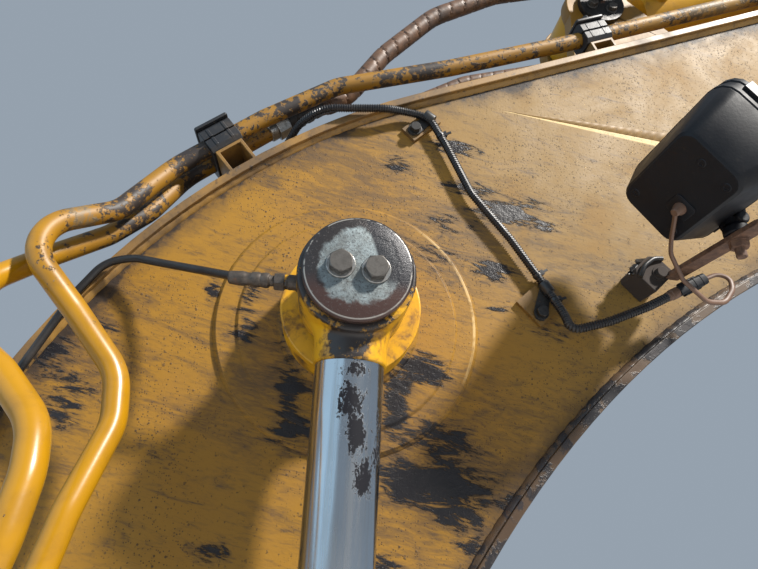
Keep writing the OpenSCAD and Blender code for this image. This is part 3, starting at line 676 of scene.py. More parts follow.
# Grease on the side plate: place from the lift pin, level and upright, half sizes and amount
SMEARS = (
    (0.171, 0.345, 0.055, 0.019, 0.90), (0.069, 0.299, 0.030, 0.021, 0.80),
    (0.197, 0.260, 0.058, 0.016, 0.85), (0.253, 0.220, 0.065, 0.026, 1.00),
    (0.301, 0.243, 0.029, 0.012, 0.80), (0.155, 0.185, 0.059, 0.035, 0.60),
    (0.229, 0.109, 0.046, 0.018, 1.00), (0.131, 0.138, 0.044, 0.056, 0.50),
    (0.333, 0.203, 0.029, 0.014, 0.70), (0.240, 0.043, 0.025, 0.007, 1.00),
    (0.110, -0.067, 0.050, 0.027, 1.10), (0.079, -0.121, 0.024, 0.076, 0.90),
    (0.134, -0.170, 0.078, 0.036, 0.85), (0.134, -0.227, 0.085, 0.038, 1.00),
    (0.178, -0.265, 0.049, 0.027, 0.90), (0.194, -0.306, 0.034, 0.018, 0.70),
    (0.251, -0.246, 0.035, 0.016, 0.60), (-0.213, 0.035, 0.015, 0.023, 0.90),
    (-0.157, 0.023, 0.024, 0.030, 0.80), (-0.154, -0.022, 0.027, 0.025, 0.80),
    (-0.086, -0.041, 0.033, 0.067, 0.60), (-0.075, -0.120, 0.025, 0.066, 0.85),
    (-0.076, -0.169, 0.040, 0.020, 0.90), (-0.388, -0.146, 0.038, 0.042, 0.80),
    (-0.427, -0.076, 0.036, 0.054, 0.70), (-0.365, -0.038, 0.034, 0.028, 0.50),
    (-0.158, -0.333, 0.028, 0.017, 0.70), (0.072, -0.332, 0.025, 0.012, 0.80),
    (0.322, 0.014, 0.044, 0.020, 0.60), (-0.261, -0.211, 0.054, 0.019, 0.40),
)
# Darker places on the side plate, listed in the same way
DARKER_PLACES = (
    (0.003, 0.270, 0.150, 0.090, 0.80), (0.160, 0.160, 0.170, 0.130, 0.75),
    (0.130, -0.210, 0.190, 0.130, 0.80), (-0.110, -0.060, 0.120, 0.150, 0.65),
    (-0.390, -0.100, 0.110, 0.140, 0.55), (0.330, 0.130, 0.160, 0.110, 0.40),
)


def out_of(m, bend):
    """How far a place lies above an outline of the boom."""
    flat = m.vector("MULTIPLY", m.place, (1, 0, 1))
    far = m.vector("DISTANCE", flat, tuple(chord(bend.middle.x, 0, bend.middle.y))) - bend.r
    for s, ahead in ((0.0, 1), (-bend.arc, -1)):
        along, above = bend.axes(s)
        off = m.vector("SUBTRACT", flat, tuple(with_y(bend.at(s, 0, 0), 0)))
        past = m.step(m.vector("DOT_PRODUCT", off, tuple(along * ahead)), 0.0, 0.004)
        far = far * (1.0 - past) + m.vector("DOT_PRODUCT", off, tuple(above)) * past
    return far


def side_paint():
    m = Nodes("side_paint")
    q = from_lift_pin(m)
    patchy = m.noise(7, 5, 0.62, warp=0.6)
    grain = m.noise(60, 5, 0.7)
    color = m.mix(m.step(m.noise(1.7, 3), 0.38, 0.66), OCHRE, tuple(c * 0.82 for c in OCHRE))
    x, _, z = m.split(q)
    # the plate turns paler towards the front and the top
    paler_to_front = m.step(x * 1.1 + z * 0.75 + patchy * 0.45, 0.30, 0.85)
    color = m.mix(paler_to_front, color, SANDY)
    color = m.mix(m.step(patchy, 0.46, 0.72) * 0.40, color, (0.250, 0.125, 0.026))
    # a wiped film of dirt, in long strokes that rise a little to the front
    leaning = m.node("ShaderNodeVectorRotate", rotation_type="Y_AXIS")
    m.put(leaning.inputs["Vector"], m.place)
    leaning.inputs["Angle"].default_value = math.radians(-12)
    leaning = m.value(leaning.outputs[0])
    strokes = m.noise(1.0, 8, 0.70, at=leaning, stretch=(11, 11, 46), warp=1.1)
    fine = m.noise(1.0, 6, 0.74, at=leaning, stretch=(38, 38, 200), warp=0.8)
    film = m.step(strokes, 0.48, 0.72) * m.step(m.noise(2.6, 3), 0.36, 0.6)
    color = m.mix(film * 0.32, color, (0.130, 0.070, 0.024))
    color = m.mix(m.step(fine, 0.50, 0.74) * 0.50, color, (0.090, 0.052, 0.022))
    # spatter
    dots = m.most(m.spots(130, 0.26, 0.22), m.spots(300, 0.34, 0.35), m.spots(48, 0.12, 0.16))
    dots = dots * m.step(m.noise(4.5, 3), 0.38, 0.56)
    dots = m.most(dots, m.step(m.noise(170, 3, 0.6), 0.66, 0.70) * 0.8)
    color = m.mix(dots * 0.80, color, (0.040, 0.024, 0.016))
    # dirt and painted shade in the corners under the top plate and over the belly plate
    wobble = patchy * 0.09 + grain * 0.05
    far = out_of(m, top) + wobble
    under_top = m.step(far, 0.000, 0.050)
    shade_line_under_top = m.step(far, 0.032, 0.050)
    over_belly = m.step(out_of(m, belly) - wobble, -0.012, -0.062)
    color = m.mix(m.most(under_top, over_belly) * 0.72, color, GRIME_AND_SHADE)
    # a dark line of painted shade right under the top plate
    color = m.mix(shade_line_under_top * 0.85, color, GREASE_AND_SHADE)

    def places(table):
        return m.most(*(
            m.blob((LIFT.x + x, -HALF_W, LIFT.z + z), (rx * 1.9, 0.2, rz * 1.9), 1.0) * share
            for x, z, rx, rz, share in table
        ))

    # painted light on the seam's lower flank and painted shade on its upper one
    off = m.vector("SUBTRACT", m.place, tuple(near(SEAM_P[0], 0, SEAM_P[1])))
    down = m.vector("DOT_PRODUCT", off, tuple(chord(math.cos(SEAM_DROP), 0, -math.sin(SEAM_DROP))))
    over = m.vector("DOT_PRODUCT", off, tuple(chord(math.sin(SEAM_DROP), 0, math.cos(SEAM_DROP))))
    share = over / m.math("MAXIMUM", down * (2 * SEAM_HALF) / SEAM_L, 0.0015)
    here = m.step(down, 0.0, 0.02) * m.step(down, 0.36, 0.33)
    low_flank_highlight = here * m.step(share, -1.25, -0.90) * m.step(share, 0.0, -0.15)
    low_flank_highlight = low_flank_highlight * m.step(patchy, 0.25, 0.45)
    high_flank_shade = here * m.step(share, 0.0, 0.12) * m.step(share, 1.1, 0.85)
    color = m.mix(low_flank_highlight * 0.75, color, (0.590, 0.430, 0.190))
    color = m.mix(high_flank_shade * 0.45, color, (0.110, 0.062, 0.022))
    # grease
    marks = strokes * 0.72 + fine * 0.38 - 0.05
    amount = marks + places(SMEARS) * 0.31
    darker = marks + places(DARKER_PLACES) * 0.27
    color = m.mix(m.step(darker, 0.50, 0.78) * 0.70, color, (0.070, 0.043, 0.024))
    haze = m.step(amount, 0.56, 0.74)
    grease = m.step(amount, 0.68, 0.73)
    color = m.mix(haze * 0.60, color, (0.050, 0.034, 0.024))
    color = m.mix(grease * 0.96, color, GREASE_AND_SHADE)
    # the outer ring's edge in front of the pin is worn bright, with a painted highlight on the part that faces the
    # light
    round_ = m.vector("LENGTH", m.vector("MULTIPLY", q, (1, 0, 1)))
    edge = m.step(abs(round_ - (RING_R - 0.0020)), 0.0032, 0.0012)
    edge = edge * m.step(x, 0.09, 0.15) * m.step(z, -0.10, -0.05) * m.step(patchy, 0.40, 0.50)
    color = m.mix(edge * 0.85, color, (0.560, 0.380, 0.160))
    rough = m.step(patchy, 0.3, 0.7, (0.52, 0.68)) - grease * 0.26
    height = grease * m.step(grain, 0.3, 0.7, (0.6, 1.0)) + dots * 0.4
    normal = m.bump(height, 0.0016, 0.8)
    normal = m.bump(m.noise(210, 3) + fine * 0.5, 0.0005, 0.4, normal)
    return m.finish(color, rough, normal, Specular_IOR_Level=0.35)


def worn_paint(name, base=OCHRE, dirt=0.5, grease=0.3, rust=0.2, rough=0.5):
    """Old paint with dirt, grease and rust in the given amounts."""
    m = Nodes(name)
    patchy = m.noise(8, 5, 0.62, warp=0.5)
    blotch = m.noise(26, 6, 0.66, warp=0.4)
    grain = m.noise(120, 4, 0.7)
    dark = tuple(c * 0.72 for c in base)
    color = m.mix(m.step(m.noise(3, 3), 0.35, 0.68), base, dark)
    color = m.mix(m.step(patchy, 0.62 - 0.25 * dirt, 0.86 - 0.25 * dirt) * 0.75, color, GRIME_AND_SHADE)
    color = m.mix(
        m.step(grain, 0.70 - 0.16 * dirt, 0.80 - 0.16 * dirt) * 0.6, color, (0.060, 0.035, 0.018)
    )
    worn = m.step(blotch, 0.78 - 0.30 * rust, 0.84 - 0.30 * rust)
    color = m.mix(worn * 0.9, color, RUST)
    # grease is thick near the lift pin and thin elsewhere
    flat = m.vector("MULTIPLY", m.place, (1, 0, 1))
    pin = m.step(m.vector("DISTANCE", flat, (LIFT.x, 0, LIFT.z)), 1.3, 0.5)
    marks = blotch * 0.6 + patchy * 0.4 + (pin - 1.0) * 0.15 * grease
    black = m.step(marks, 0.74 - 0.26 * grease, 0.79 - 0.26 * grease)
    color = m.mix(black * 0.93, color, GREASE_AND_SHADE)
    gloss = m.step(patchy, 0.3, 0.7, (rough - 0.08, rough + 0.10)) + worn * 0.18
    gloss = gloss - black * 0.10
    height = black - worn * 0.6 + grain * 0.3
    return m.finish(color, gloss, m.bump(height, 0.0008, 0.6))


def pipe_paint():
    """Glossy yellow where the pipes swing out, dull and dirty on the top plate."""
    m = Nodes("pipe_paint")
    off = m.vector("SUBTRACT", m.place, tuple(near(-0.19, 0, 0.36)))
    far = m.vector("DOT_PRODUCT", off, tuple(ALONG))
    on_top = m.step(far, -0.12, -0.01)
    patchy = m.noise(14, 5, 0.62, warp=0.5)
    grain = m.noise(95, 5, 0.72)
    color = m.mix(on_top, (0.350, 0.170, 0.003), (0.235, 0.112, 0.006))
    color = m.mix(m.step(patchy, 0.46, 0.70) * (0.30 + on_top * 0.50), color, (0.120, 0.060, 0.016))
    limit = 0.625 - on_top * 0.122
    black = m.step(grain * 0.55 + patchy * 0.45 - limit, 0.0, 0.025)
    color = m.mix(black * 0.92, color, GREASE_AND_SHADE)
    chipped = m.blob(by_crown(-0.262, -0.283, 0.020), (0.055, 0.055, 0.055), 0.9)
    chipped = m.step(chipped * 0.45 + grain * 0.7 + patchy * 0.4, 0.84, 0.88)
    color = m.mix(chipped * 0.70, color, (0.150, 0.110, 0.060))
    paler_to_front = m.step(far, 0.75, 1.5) * m.step(m.noise(9, 3), 0.35, 0.6)
    color = m.mix(paler_to_front * 0.5, color, (0.300, 0.190, 0.060))
    rough = 0.30 + on_top * 0.24
    return m.finish(color, rough, m.bump(black + grain * 0.25, 0.0008, 0.55))


def eye_paint():
    """Bright yellow paint, black with grease at the front and in the corners."""
    m = Nodes("eye_paint")
    patchy = m.noise(17, 5, 0.62, warp=0.7)
    grain = m.noise(110, 5, 0.7)
    color = m.mix(m.step(patchy, 0.35, 0.68), (0.640, 0.330, 0.008), (0.420, 0.200, 0.010))
    color = m.mix(m.step(patchy, 0.50, 0.70) * 0.7, color, (0.130, 0.060, 0.016))
    y = m.split(m.place)[1]
    front = m.blob((LIFT.x - 0.012, -CYL_Y - 0.050, LIFT.z - 0.082), (0.060, 0.060, 0.056), 0.9)
    front = front * 1.1 * m.step(grain, 0.25, 0.55, (0.75, 1.0))
    rim = m.step(abs(y), CYL_Y + 0.030, CYL_Y + 0.054) * 0.8
    left = m.blob((LIFT.x - 0.080, -CYL_Y, LIFT.z - 0.020), (0.045, 0.08, 0.05), 0.8)
    amount = m.most(front, rim, left)
    marks = patchy * 0.55 + grain * 0.45 + amount * 0.21
    black = m.step(marks, 0.62, 0.65)
    color = m.mix(m.step(marks, 0.50, 0.63) * 0.70, color, (0.110, 0.055, 0.018))
    color = m.mix(black * 0.95, color, GREASE_AND_SHADE)
    rough = 0.34 + m.step(patchy, 0.4, 0.7) * 0.16
    return m.finish(color, rough, m.bump(black + grain * 0.3, 0.0009, 0.6))


def rod_chrome():
    m = Nodes("rod_chrome")
    fine = m.noise(1.0, 6, 0.74, stretch=(120, 120, 40), warp=0.8)
    specks = m.noise(230, 6, 0.78, warp=0.3)
    z = m.split(from_lift_pin(m))[2]
    upper = m.step(z, -0.46, -0.13)
    patch = m.most(
        m.blob((LIFT.x + 0.000, -CYL_Y - 0.042, LIFT.z - 0.152), (0.030, 0.034, 0.040), 0.9),
        m.blob((LIFT.x + 0.010, -CYL_Y - 0.040, LIFT.z - 0.192), (0.024, 0.034, 0.050), 0.9),
        m.blob((LIFT.x + 0.020, -CYL_Y - 0.036, LIFT.z - 0.236), (0.020, 0.034, 0.044), 0.9),
        m.blob((LIFT.x + 0.004, -CYL_Y - 0.040, LIFT.z - 0.116), (0.034, 0.035, 0.020), 0.9) * 0.85,
        m.blob((LIFT.x + 0.036, -CYL_Y - 0.024, LIFT.z - 0.200), (0.020, 0.030, 0.110), 0.9) * 0.55,
    )
    marks = fine * 0.50 + specks * 0.50
    ragged = m.noise(1.0, 6, 0.72, stretch=(48, 48, 22), warp=1.0) - 0.5
    black = m.step(marks + ragged * 0.35 + patch * 0.27, 0.655, 0.675)
    flecks = m.step(marks, 0.635, 0.66) * (0.30 + upper * 0.7)
    color = m.mix(
        m.step(m.noise(6, 4), 0.4, 0.7) * 0.35, (0.500, 0.540, 0.580), (0.330, 0.330, 0.330)
    )
    streak = m.step(m.noise(1.0, 4, stretch=(60, 60, 3)), 0.45, 0.70)
    color = m.mix(streak * 0.45, color, (0.200, 0.190, 0.180))
    color = m.mix(m.most(black, flecks * 0.8), color, GREASE_AND_SHADE)
    metal = 1.0 - m.most(black, flecks * 0.6)
    rough = 0.16 + streak * 0.16 + black * 0.30
    return m.finish(
        color, rough, m.bump(black + fine * 0.15, 0.0002, 0.25), metal, Specular_IOR_Level=0.15
    )


def cap_steel():
    """Grey steel, wiped clean in the middle, brown and black round the rim."""
    m = Nodes("cap_steel")
    off = m.vector("SUBTRACT", m.vector("MULTIPLY", m.place, (1, 0, 1)), (LIFT.x, 0, LIFT.z))
    x, _, z = m.split(off)
    wobble = m.noise(34, 5, 0.65, warp=0.6)
    true_r = m.vector("LENGTH", off)
    r = true_r + (wobble - 0.5) * 0.034 + m.step(z, 0.0, -0.05) * 0.005
    rim = m.step(r, 0.047, 0.054)
    low = m.step(z, -0.006, -0.036)
    right = m.step(x + z * 0.35, 0.026, 0.031) * m.step(z, -0.030, -0.010)
    specks = m.noise(330, 5, 0.8)
    scratch = m.noise(1.0, 5, 0.7, stretch=(60, 60, 420), warp=0.5)
    color = m.mix(
        m.step(m.noise(45, 5, 0.7), 0.35, 0.65), (0.240, 0.280, 0.290), (0.150, 0.165, 0.165)
    )
    color = m.mix(m.step(specks, 0.52, 0.62) * 0.75, color, (0.045, 0.042, 0.042))
    color = m.mix(m.step(scratch, 0.56, 0.66) * 0.45, color, (0.070, 0.060, 0.052))
    edge = m.mix(low * 0.9, (0.026, 0.022, 0.022), (0.060, 0.030, 0.024))
    edge = m.mix(m.step(specks, 0.58, 0.66), edge, (0.110, 0.100, 0.095))
    color = m.mix(rim, color, edge)
    color = m.mix(right * 0.95, color, (0.012, 0.012, 0.016))
    bare = m.step(abs(true_r - (CAP_R - CAP_EDGE)), 0.0012, 0.0004)
    bare = bare * m.step(m.noise(60, 4), 0.42, 0.52)
    color = m.mix(bare * 0.8, color, (0.330, 0.310, 0.280))
    metal = 0.75 - m.most(rim, right) * 0.45
    rough = 0.52 - m.most(rim, right) * 0.18
    height = specks * 0.7 + rim * 0.5 + scratch * 0.4
    return m.finish(color, rough, m.bump(height, 0.0007, 0.7), metal)


def steel(name, color, rough, rust, metal):
    m = Nodes(name)
    grain = m.noise(160, 5, 0.7)
    blotch = m.noise(40, 5, 0.65, warp=0.4)
    worn = m.step(blotch, 0.76 - 0.34 * rust, 0.86 - 0.34 * rust)
    tint = m.mix(m.step(grain, 0.35, 0.70), color, tuple(c * 0.55 for c in color))
    tint = m.mix(worn * 0.9, tint, RUST)
    gloss = m.step(grain, 0.3, 0.7, (rough - 0.08, rough + 0.08)) + worn * 0.2
    return m.finish(tint, gloss, m.bump(grain, 0.0004, 0.5), metal - worn * metal)


def rusted():
    m = Nodes("rusted")
    grain = m.noise(70, 6, 0.72, warp=0.4)
    broad = m.noise(15, 4, 0.6)
    color = m.mix(m.step(grain, 0.32, 0.68), (0.070, 0.036, 0.024), (0.165, 0.088, 0.052))
    color = m.mix(m.step(broad, 0.55, 0.72) * 0.7, color, (0.045, 0.028, 0.022))
    color = m.mix(m.step(m.noise(210, 3), 0.62, 0.7) * 0.5, color, (0.270, 0.170, 0.110))
    return m.finish(color, 0.78, m.bump(grain + broad * 0.8, 0.0014, 0.8))


def black_plastic(name, color=(0.016, 0.016, 0.019), rough=0.42, dust=0.3, shine=0.5):
    m = Nodes(name)
    grain = m.noise(260, 3, 0.6)
    broad = m.noise(18, 4, 0.6)
    tint = m.mix(m.step(broad, 0.52, 0.76) * dust, color, (0.075, 0.056, 0.042))
    tint = m.mix(m.step(m.noise(130, 4), 0.62, 0.70) * 0.4 * dust, tint, (0.150, 0.115, 0.080))
    gloss = m.step(broad, 0.3, 0.7, (rough - 0.05, rough + 0.12))
    return m.finish(tint, gloss, m.bump(grain, 0.0003, 0.5), Specular_IOR_Level=shine)


def guard_plastic():
    """The brown spiral guard round the hoses, dusty and oily."""
    m = Nodes("guard_plastic")
    grain = m.noise(60, 5, 0.68, warp=0.3)
    broad = m.noise(9, 4, 0.6)
    color = m.mix(m.step(grain, 0.35, 0.7), (0.120, 0.062, 0.034), (0.060, 0.034, 0.022))
    color = m.mix(m.step(broad, 0.50, 0.68) * 0.65, color, (0.020, 0.017, 0.017))
    color = m.mix(m.step(m.noise(150, 4), 0.62, 0.72) * 0.5, color, (0.300, 0.190, 0.100))
    return m.finish(color, 0.5, m.bump(grain, 0.0008, 0.6))


def glass():
    m = Nodes("glass")
    rough = m.step(m.noise(30, 3), 0.4, 0.7, (0.02, 0.10))
    return m.finish((0.90, 0.92, 0.93), rough, Transmission_Weight=0.85, IOR=1.45)


def plain(name, color, rough):
    m = Nodes(name)
    tint = m.mix(m.step(m.noise(0.8, 2), 0.3, 0.7), color, tuple(c * 0.97 for c in color))
    return m.finish(tint, rough)


SIDE = side_paint()
BOOM = worn_paint("boom_paint", OCHRE, dirt=0.55, grease=0.25, rust=0.12)
TOP_LIP = worn_paint("top_plate_paint", (0.240, 0.130, 0.034), dirt=0.90, grease=0.62, rust=0.40)
BELLY_LIP = worn_paint(
    "belly_plate_paint", (0.080, 0.046, 0.024), dirt=0.9, grease=1.05, rust=0.85, rough=0.45
)
WELD = worn_paint("weld_paint", (0.280, 0.150, 0.028), dirt=0.80, grease=0.60, rust=0.15)
SEAM = worn_paint("seam_paint", (0.250, 0.140, 0.034), dirt=0.60, grease=0.15, rust=0.02)
YELLOW = worn_paint(
    "yellow_paint", (0.600, 0.310, 0.009), dirt=0.32, grease=0.22, rust=0.06, rough=0.38
)
BRACKET = worn_paint("bracket_paint", (0.210, 0.112, 0.024), dirt=0.90, grease=0.55, rust=0.45)
PIPE = pipe_paint()
EYE = eye_paint()
CHROME = rod_chrome()
CAP = cap_steel()
BOLT = steel("bolt_steel", (0.120, 0.110, 0.100), 0.46, 0.20, 0.6)
BRIGHT = steel("plated_steel", (0.420, 0.410, 0.390), 0.34, 0.35, 0.9)
DARK_STEEL = steel("dark_steel", (0.045, 0.043, 0.042), 0.42, 0.35, 0.6)
GRIMY = steel("grimy_steel", (0.095, 0.078, 0.066), 0.45, 0.50, 0.5)
RUSTED = rusted()
FOOT_PAINT = worn_paint(
    "foot_paint", (0.045, 0.032, 0.026), dirt=0.4, grease=0.30, rust=0.45, rough=0.86
)
CLAMP = black_plastic("clamp_plastic", (0.017, 0.018, 0.021), 0.38, 0.5, 0.4)
LOOM = black_plastic("loom_plastic", (0.009, 0.009, 0.011), 0.32, 0.20)
LAMP = black_plastic("lamp_plastic", (0.0075, 0.0085, 0.0115), 0.46, 0.10, 0.22)
RUBBER = black_plastic("rubber", (0.011, 0.011, 0.012), 0.38, 0.28)
BROWN_LEAD = black_plastic("brown_lead", (0.115, 0.060, 0.036), 0.5, 0.5)
GUARD = guard_plastic()
GLASS = glass()


def dress(material, *nodes):
    """Gives CAD nodes their material."""
    for n in nodes:
        mesh = frame["nodes"][n].data
        mesh.materials.clear()
        mesh.materials.append(material)


def both(name):
    return [f"{name}_{side}" for side in SIDES]


dress(SIDE, *both("side_plate"), *both("boss_rings"))
dress(TOP_LIP, "top_plate")
dress(BELLY_LIP, "belly_plate")
dress(BOOM, "foot_boss", "tip_bulkhead", "tip_ears", "arm_bracket")
dress(BRACKET, "clamp_brackets", "loom_clips")
dress(YELLOW, *both("lift_barrel"), *both("lift_gland"))
dress(YELLOW, "arm_cyl_barrel", "arm_cyl_gland", "arm_cyl_eye")
dress(EYE, "lift_boss", *both("lift_eye"))
dress(CHROME, *both("lift_rod"), "arm_cyl_rod")
dress(PIPE, *both("outer_pipe"), *both("inner_pipe"))
dress(DARK_STEEL, "lift_pin", "arm_pin")
dress(RUSTED, "lamp_bar")
dress(CAP, *both("pin_cap"))
dress(CLAMP, "clamp_blocks")
dress(LOOM, "loom", "loom_plug")
dress(LAMP, "lamp_housing")
dress(GLASS, "lamp_glass")
dress(GUARD, *both("arm_hose"))
dress(RUBBER, *both("grease_hose"))


# Routes of pipes, hoses and leads, the same as in the part's source, all on the right side
def level_from_pin(x, z, y):
    """A point measured level and upright from the lift pin."""
    return Vector((LIFT.x + x, y, LIFT.z + z))


def mirrored(path, sign):
    return [Vector((p.x, p.y * sign, p.z)) for p in path]


OUTER_ROUTE = [
    top.at(2.600, PIPE_H, -PIPE_Y), top.at(0.370, PIPE_H, -PIPE_Y),
    top.at(0.110, 0.064, -PIPE_Y), top.at(-0.110, 0.088, -PIPE_Y),
    by_crown(0.090, -PIPE_Y, CROWN_H), by_crown(-0.090, -PIPE_Y, CROWN_H),
    by_crown(-0.210, -0.245, 0.024), by_crown(-0.295, -0.308, 0.018),
    by_crown(-0.331, -0.330, -0.025), by_crown(-0.328, -0.315, -0.120),
    by_crown(-0.327, -0.310, -0.225), by_crown(-0.360, -0.322, -0.282),
    by_crown(-0.437, -0.362, -0.346), by_crown(-0.521, -0.380, -0.419),
    near(-0.760, -0.330, -0.220),
    side_pt(0.230, 0, -SIDE_Y), side_pt(-0.280, 0, -SIDE_Y),
]
INNER_ROUTE = [
    by_crown(0.105, -INNER_Y, CROWN_H), by_crown(-0.080, -INNER_Y, CROWN_H),
    by_crown(-0.170, -0.190, 0.029), by_crown(-0.242, -0.215, 0.013),
    by_crown(-0.324, -0.260, 0.003), by_crown(-0.393, -0.318, -0.021),
    by_crown(-0.439, -0.372, -0.083), by_crown(-0.403, -0.435, -0.198),
    by_crown(-0.392, -0.463, -0.280), by_crown(-0.412, -0.480, -0.323),
    by_crown(-0.454, -0.496, -0.372), near(-0.620, -0.480, -0.120), near(-0.850, -0.340, -0.235),
    side_pt(0.220, SIDE_PITCH, -SIDE_Y), side_pt(-0.280, SIDE_PITCH, -SIDE_Y),
]
ARM_PORT = ARM_PIN + ARM_AXIS * PORT
PORT_Y = 0.102
ARM_HOSE_ROUTE = [
    by_crown(0.1053, -INNER_Y, CROWN_H), by_crown(0.180, -INNER_Y, CROWN_H),
    by_crown(0.259, -INNER_Y, 0.060), by_crown(0.395, -0.146, 0.108),
    by_crown(0.554, -0.144, 0.134),
    by_crown(0.716, -0.142, 0.110), by_crown(0.914, -0.142, 0.028),
    ARM_PORT - ARM_AXIS * 0.060 - Vector((0, PORT_Y + 0.050, 0)),
    ARM_PORT - Vector((0, PORT_Y + 0.050, 0)), ARM_PORT - Vector((0, PORT_Y + END_GAP, 0)),
]
GREASE_ROUTE = [
    level_from_pin(-FITTING_X - END_GAP, 0.002, -CYL_Y),
    level_from_pin(-FITTING_X - 0.034, 0.002, -CYL_Y),
    near(-0.129, -0.300, 0.177), top.at(-0.558, -0.077, -LIP_Y - 0.032),
    top.at(-0.577, -0.036, -LIP_Y - 0.018), top.at(-0.610, -0.008, -LIP_Y - 0.014),
    top.at(-0.670, -0.008, -LIP_Y - 0.008), top.at(-0.800, -0.024, -LIP_Y - 0.008),
    top.at(-0.920, -0.034, -LIP_Y + 0.002),
    top.at(-1.100, -0.036, -HALF_W - 0.0065), top.at(-2.100, -0.036, -HALF_W - 0.0065),
]
LOOM_Y = HALF_W + CLIP_T + LOOM_R + FACE_GAP
LOOM_TOP = LOOM_R + 0.0025
LOOM_LIP = LIP_Y + LOOM_R + 0.006
CLIP_A = top.at(0.006, -0.056, 0)
CLIP_B = near(0.283, 0, -0.165)
BOLT_A = near(0.327, -HALF_W - CLIP_T, 0.196)
BOLT_B = near(0.247, -HALF_W - CLIP_T, -0.188)
PLUG_A, PLUG_B = near(0.392, -0.285, -0.301), near(0.462, -0.287, -0.321)
PLUG_U = (PLUG_B - PLUG_A).normalized()
KNUCKLE = near(0.454, -0.402, -0.291)
BAR_ROOT = near(0.442, -HALF_W - 0.045, -0.284)
BAR_U = (KNUCKLE - BAR_ROOT).normalized()
BAR_UP = (Vector((0, 0, 1)) - BAR_U * BAR_U.z).normalized()


LOOM_ROUTE = [
    top.at(-top.arc - 0.785, LOOM_TOP, -0.105),
    *[top.at(-top.arc + (top.arc - 0.420) * i / 7, LOOM_TOP, -0.105) for i in range(8)],
    top.at(-0.290, LOOM_TOP + 0.003, -0.108), top.at(-0.252, 0.024, -0.160),
    top.at(-0.214, 0.030, -0.212),
    top.at(-0.172, 0.022, -LOOM_LIP), top.at(-0.120, -0.002, -LOOM_LIP),
    top.at(-0.068, -0.022, -LOOM_LIP),
    top.at(-0.027, -0.034, -LOOM_Y), with_y(CLIP_A, -LOOM_Y),
    near(0.346, -LOOM_Y, 0.138), near(0.311, -LOOM_Y, 0.038), near(0.301, -LOOM_Y, -0.066),
    with_y(CLIP_B, -LOOM_Y), near(0.262, -0.246, -0.216), near(0.242, -0.262, -0.238),
    near(0.292, -0.274, -0.266), PLUG_A - PLUG_U * 0.040, PLUG_A - PLUG_U * END_GAP,
]


def lamp_axes():
    """The lamp's own frame: x out of the glass, y across, z up."""
    tilt = Matrix.Rotation(-SLOPE, 4, "Y")
    turn = Matrix.Rotation(math.radians(7), 4, "Z") @ Matrix.Rotation(math.radians(5), 4, "Y")
    return tilt @ Matrix.Translation((LIFT_X + 0.458, -0.434, LIFT_Z - 0.194)) @ turn


def behind_lamp(out, y, z):
    return lamp_axes() @ Vector((-LAMP_L / 2 - out, y, z))


LEAD_ROUTE = [
    PLUG_B - PLUG_U * 0.006, near(0.482, -0.290, -0.329), near(0.486, -0.297, -0.346),
    near(0.468, -0.304, -0.358), near(0.436, -0.308, -0.362), near(0.406, -0.318, -0.340),
    near(0.389, -0.338, -0.290), behind_lamp(0.012, 0.072, -0.060),
    behind_lamp(0.009, 0.055, -0.044), behind_lamp(0.012, *LEAD_AT),
    behind_lamp(FACE_GAP, *LEAD_AT),
]


def loom_path():
    """The loom bends gently between its clips."""
    return even(rounded(LOOM_ROUTE, 0.075, math.radians(6), 0.02), 0.00105)


def lead_path():
    return even(rounded(LEAD_ROUTE, 0.030, math.radians(6), 0.01), 0.0025)


def make_lines():
    for side, sign in MIRRORED:
        for name, route in (("outer_pipe", OUTER_ROUTE), ("inner_pipe", INNER_ROUTE)):
            path = mirrored(rounded(route, 0.085, math.radians(5), 0.04), sign)
            pipe = Shape().tube(path, PIPE_R, 24)
            node = f"{name}_{side}"
            pipe.done(
                f"{name}_skin_{side}", "boom", PIPE, "bright_yellow", smooth=50, replaces=(node,)
            )
        make_arm_hose(side, sign)
        make_grease_hose(side, sign)


def guard_rings(path):
    """Rings of a hose whose guard winds round it between its bare ends."""
    stop = length_of(path) - GUARD_END
    rings, done, last = [], 0.0, path[0]
    for p, x, y in carried(path):
        done += (p - last).length
        last = p
        ring = []
        for i in range(GUARD_SIDES):
            a = math.tau * i / GUARD_SIDES
            wound = (done + GUARD_PITCH * i / GUARD_SIDES) % GUARD_PITCH > GUARD_GAP
            wall = GUARD_WALL if wound and GUARD_START < done < stop else -GUARD_WALL
            ring.append(p + (x * math.cos(a) + y * math.sin(a)) * (HOSE_R - 0.0018 + wall))
        rings.append(ring)
    return rings


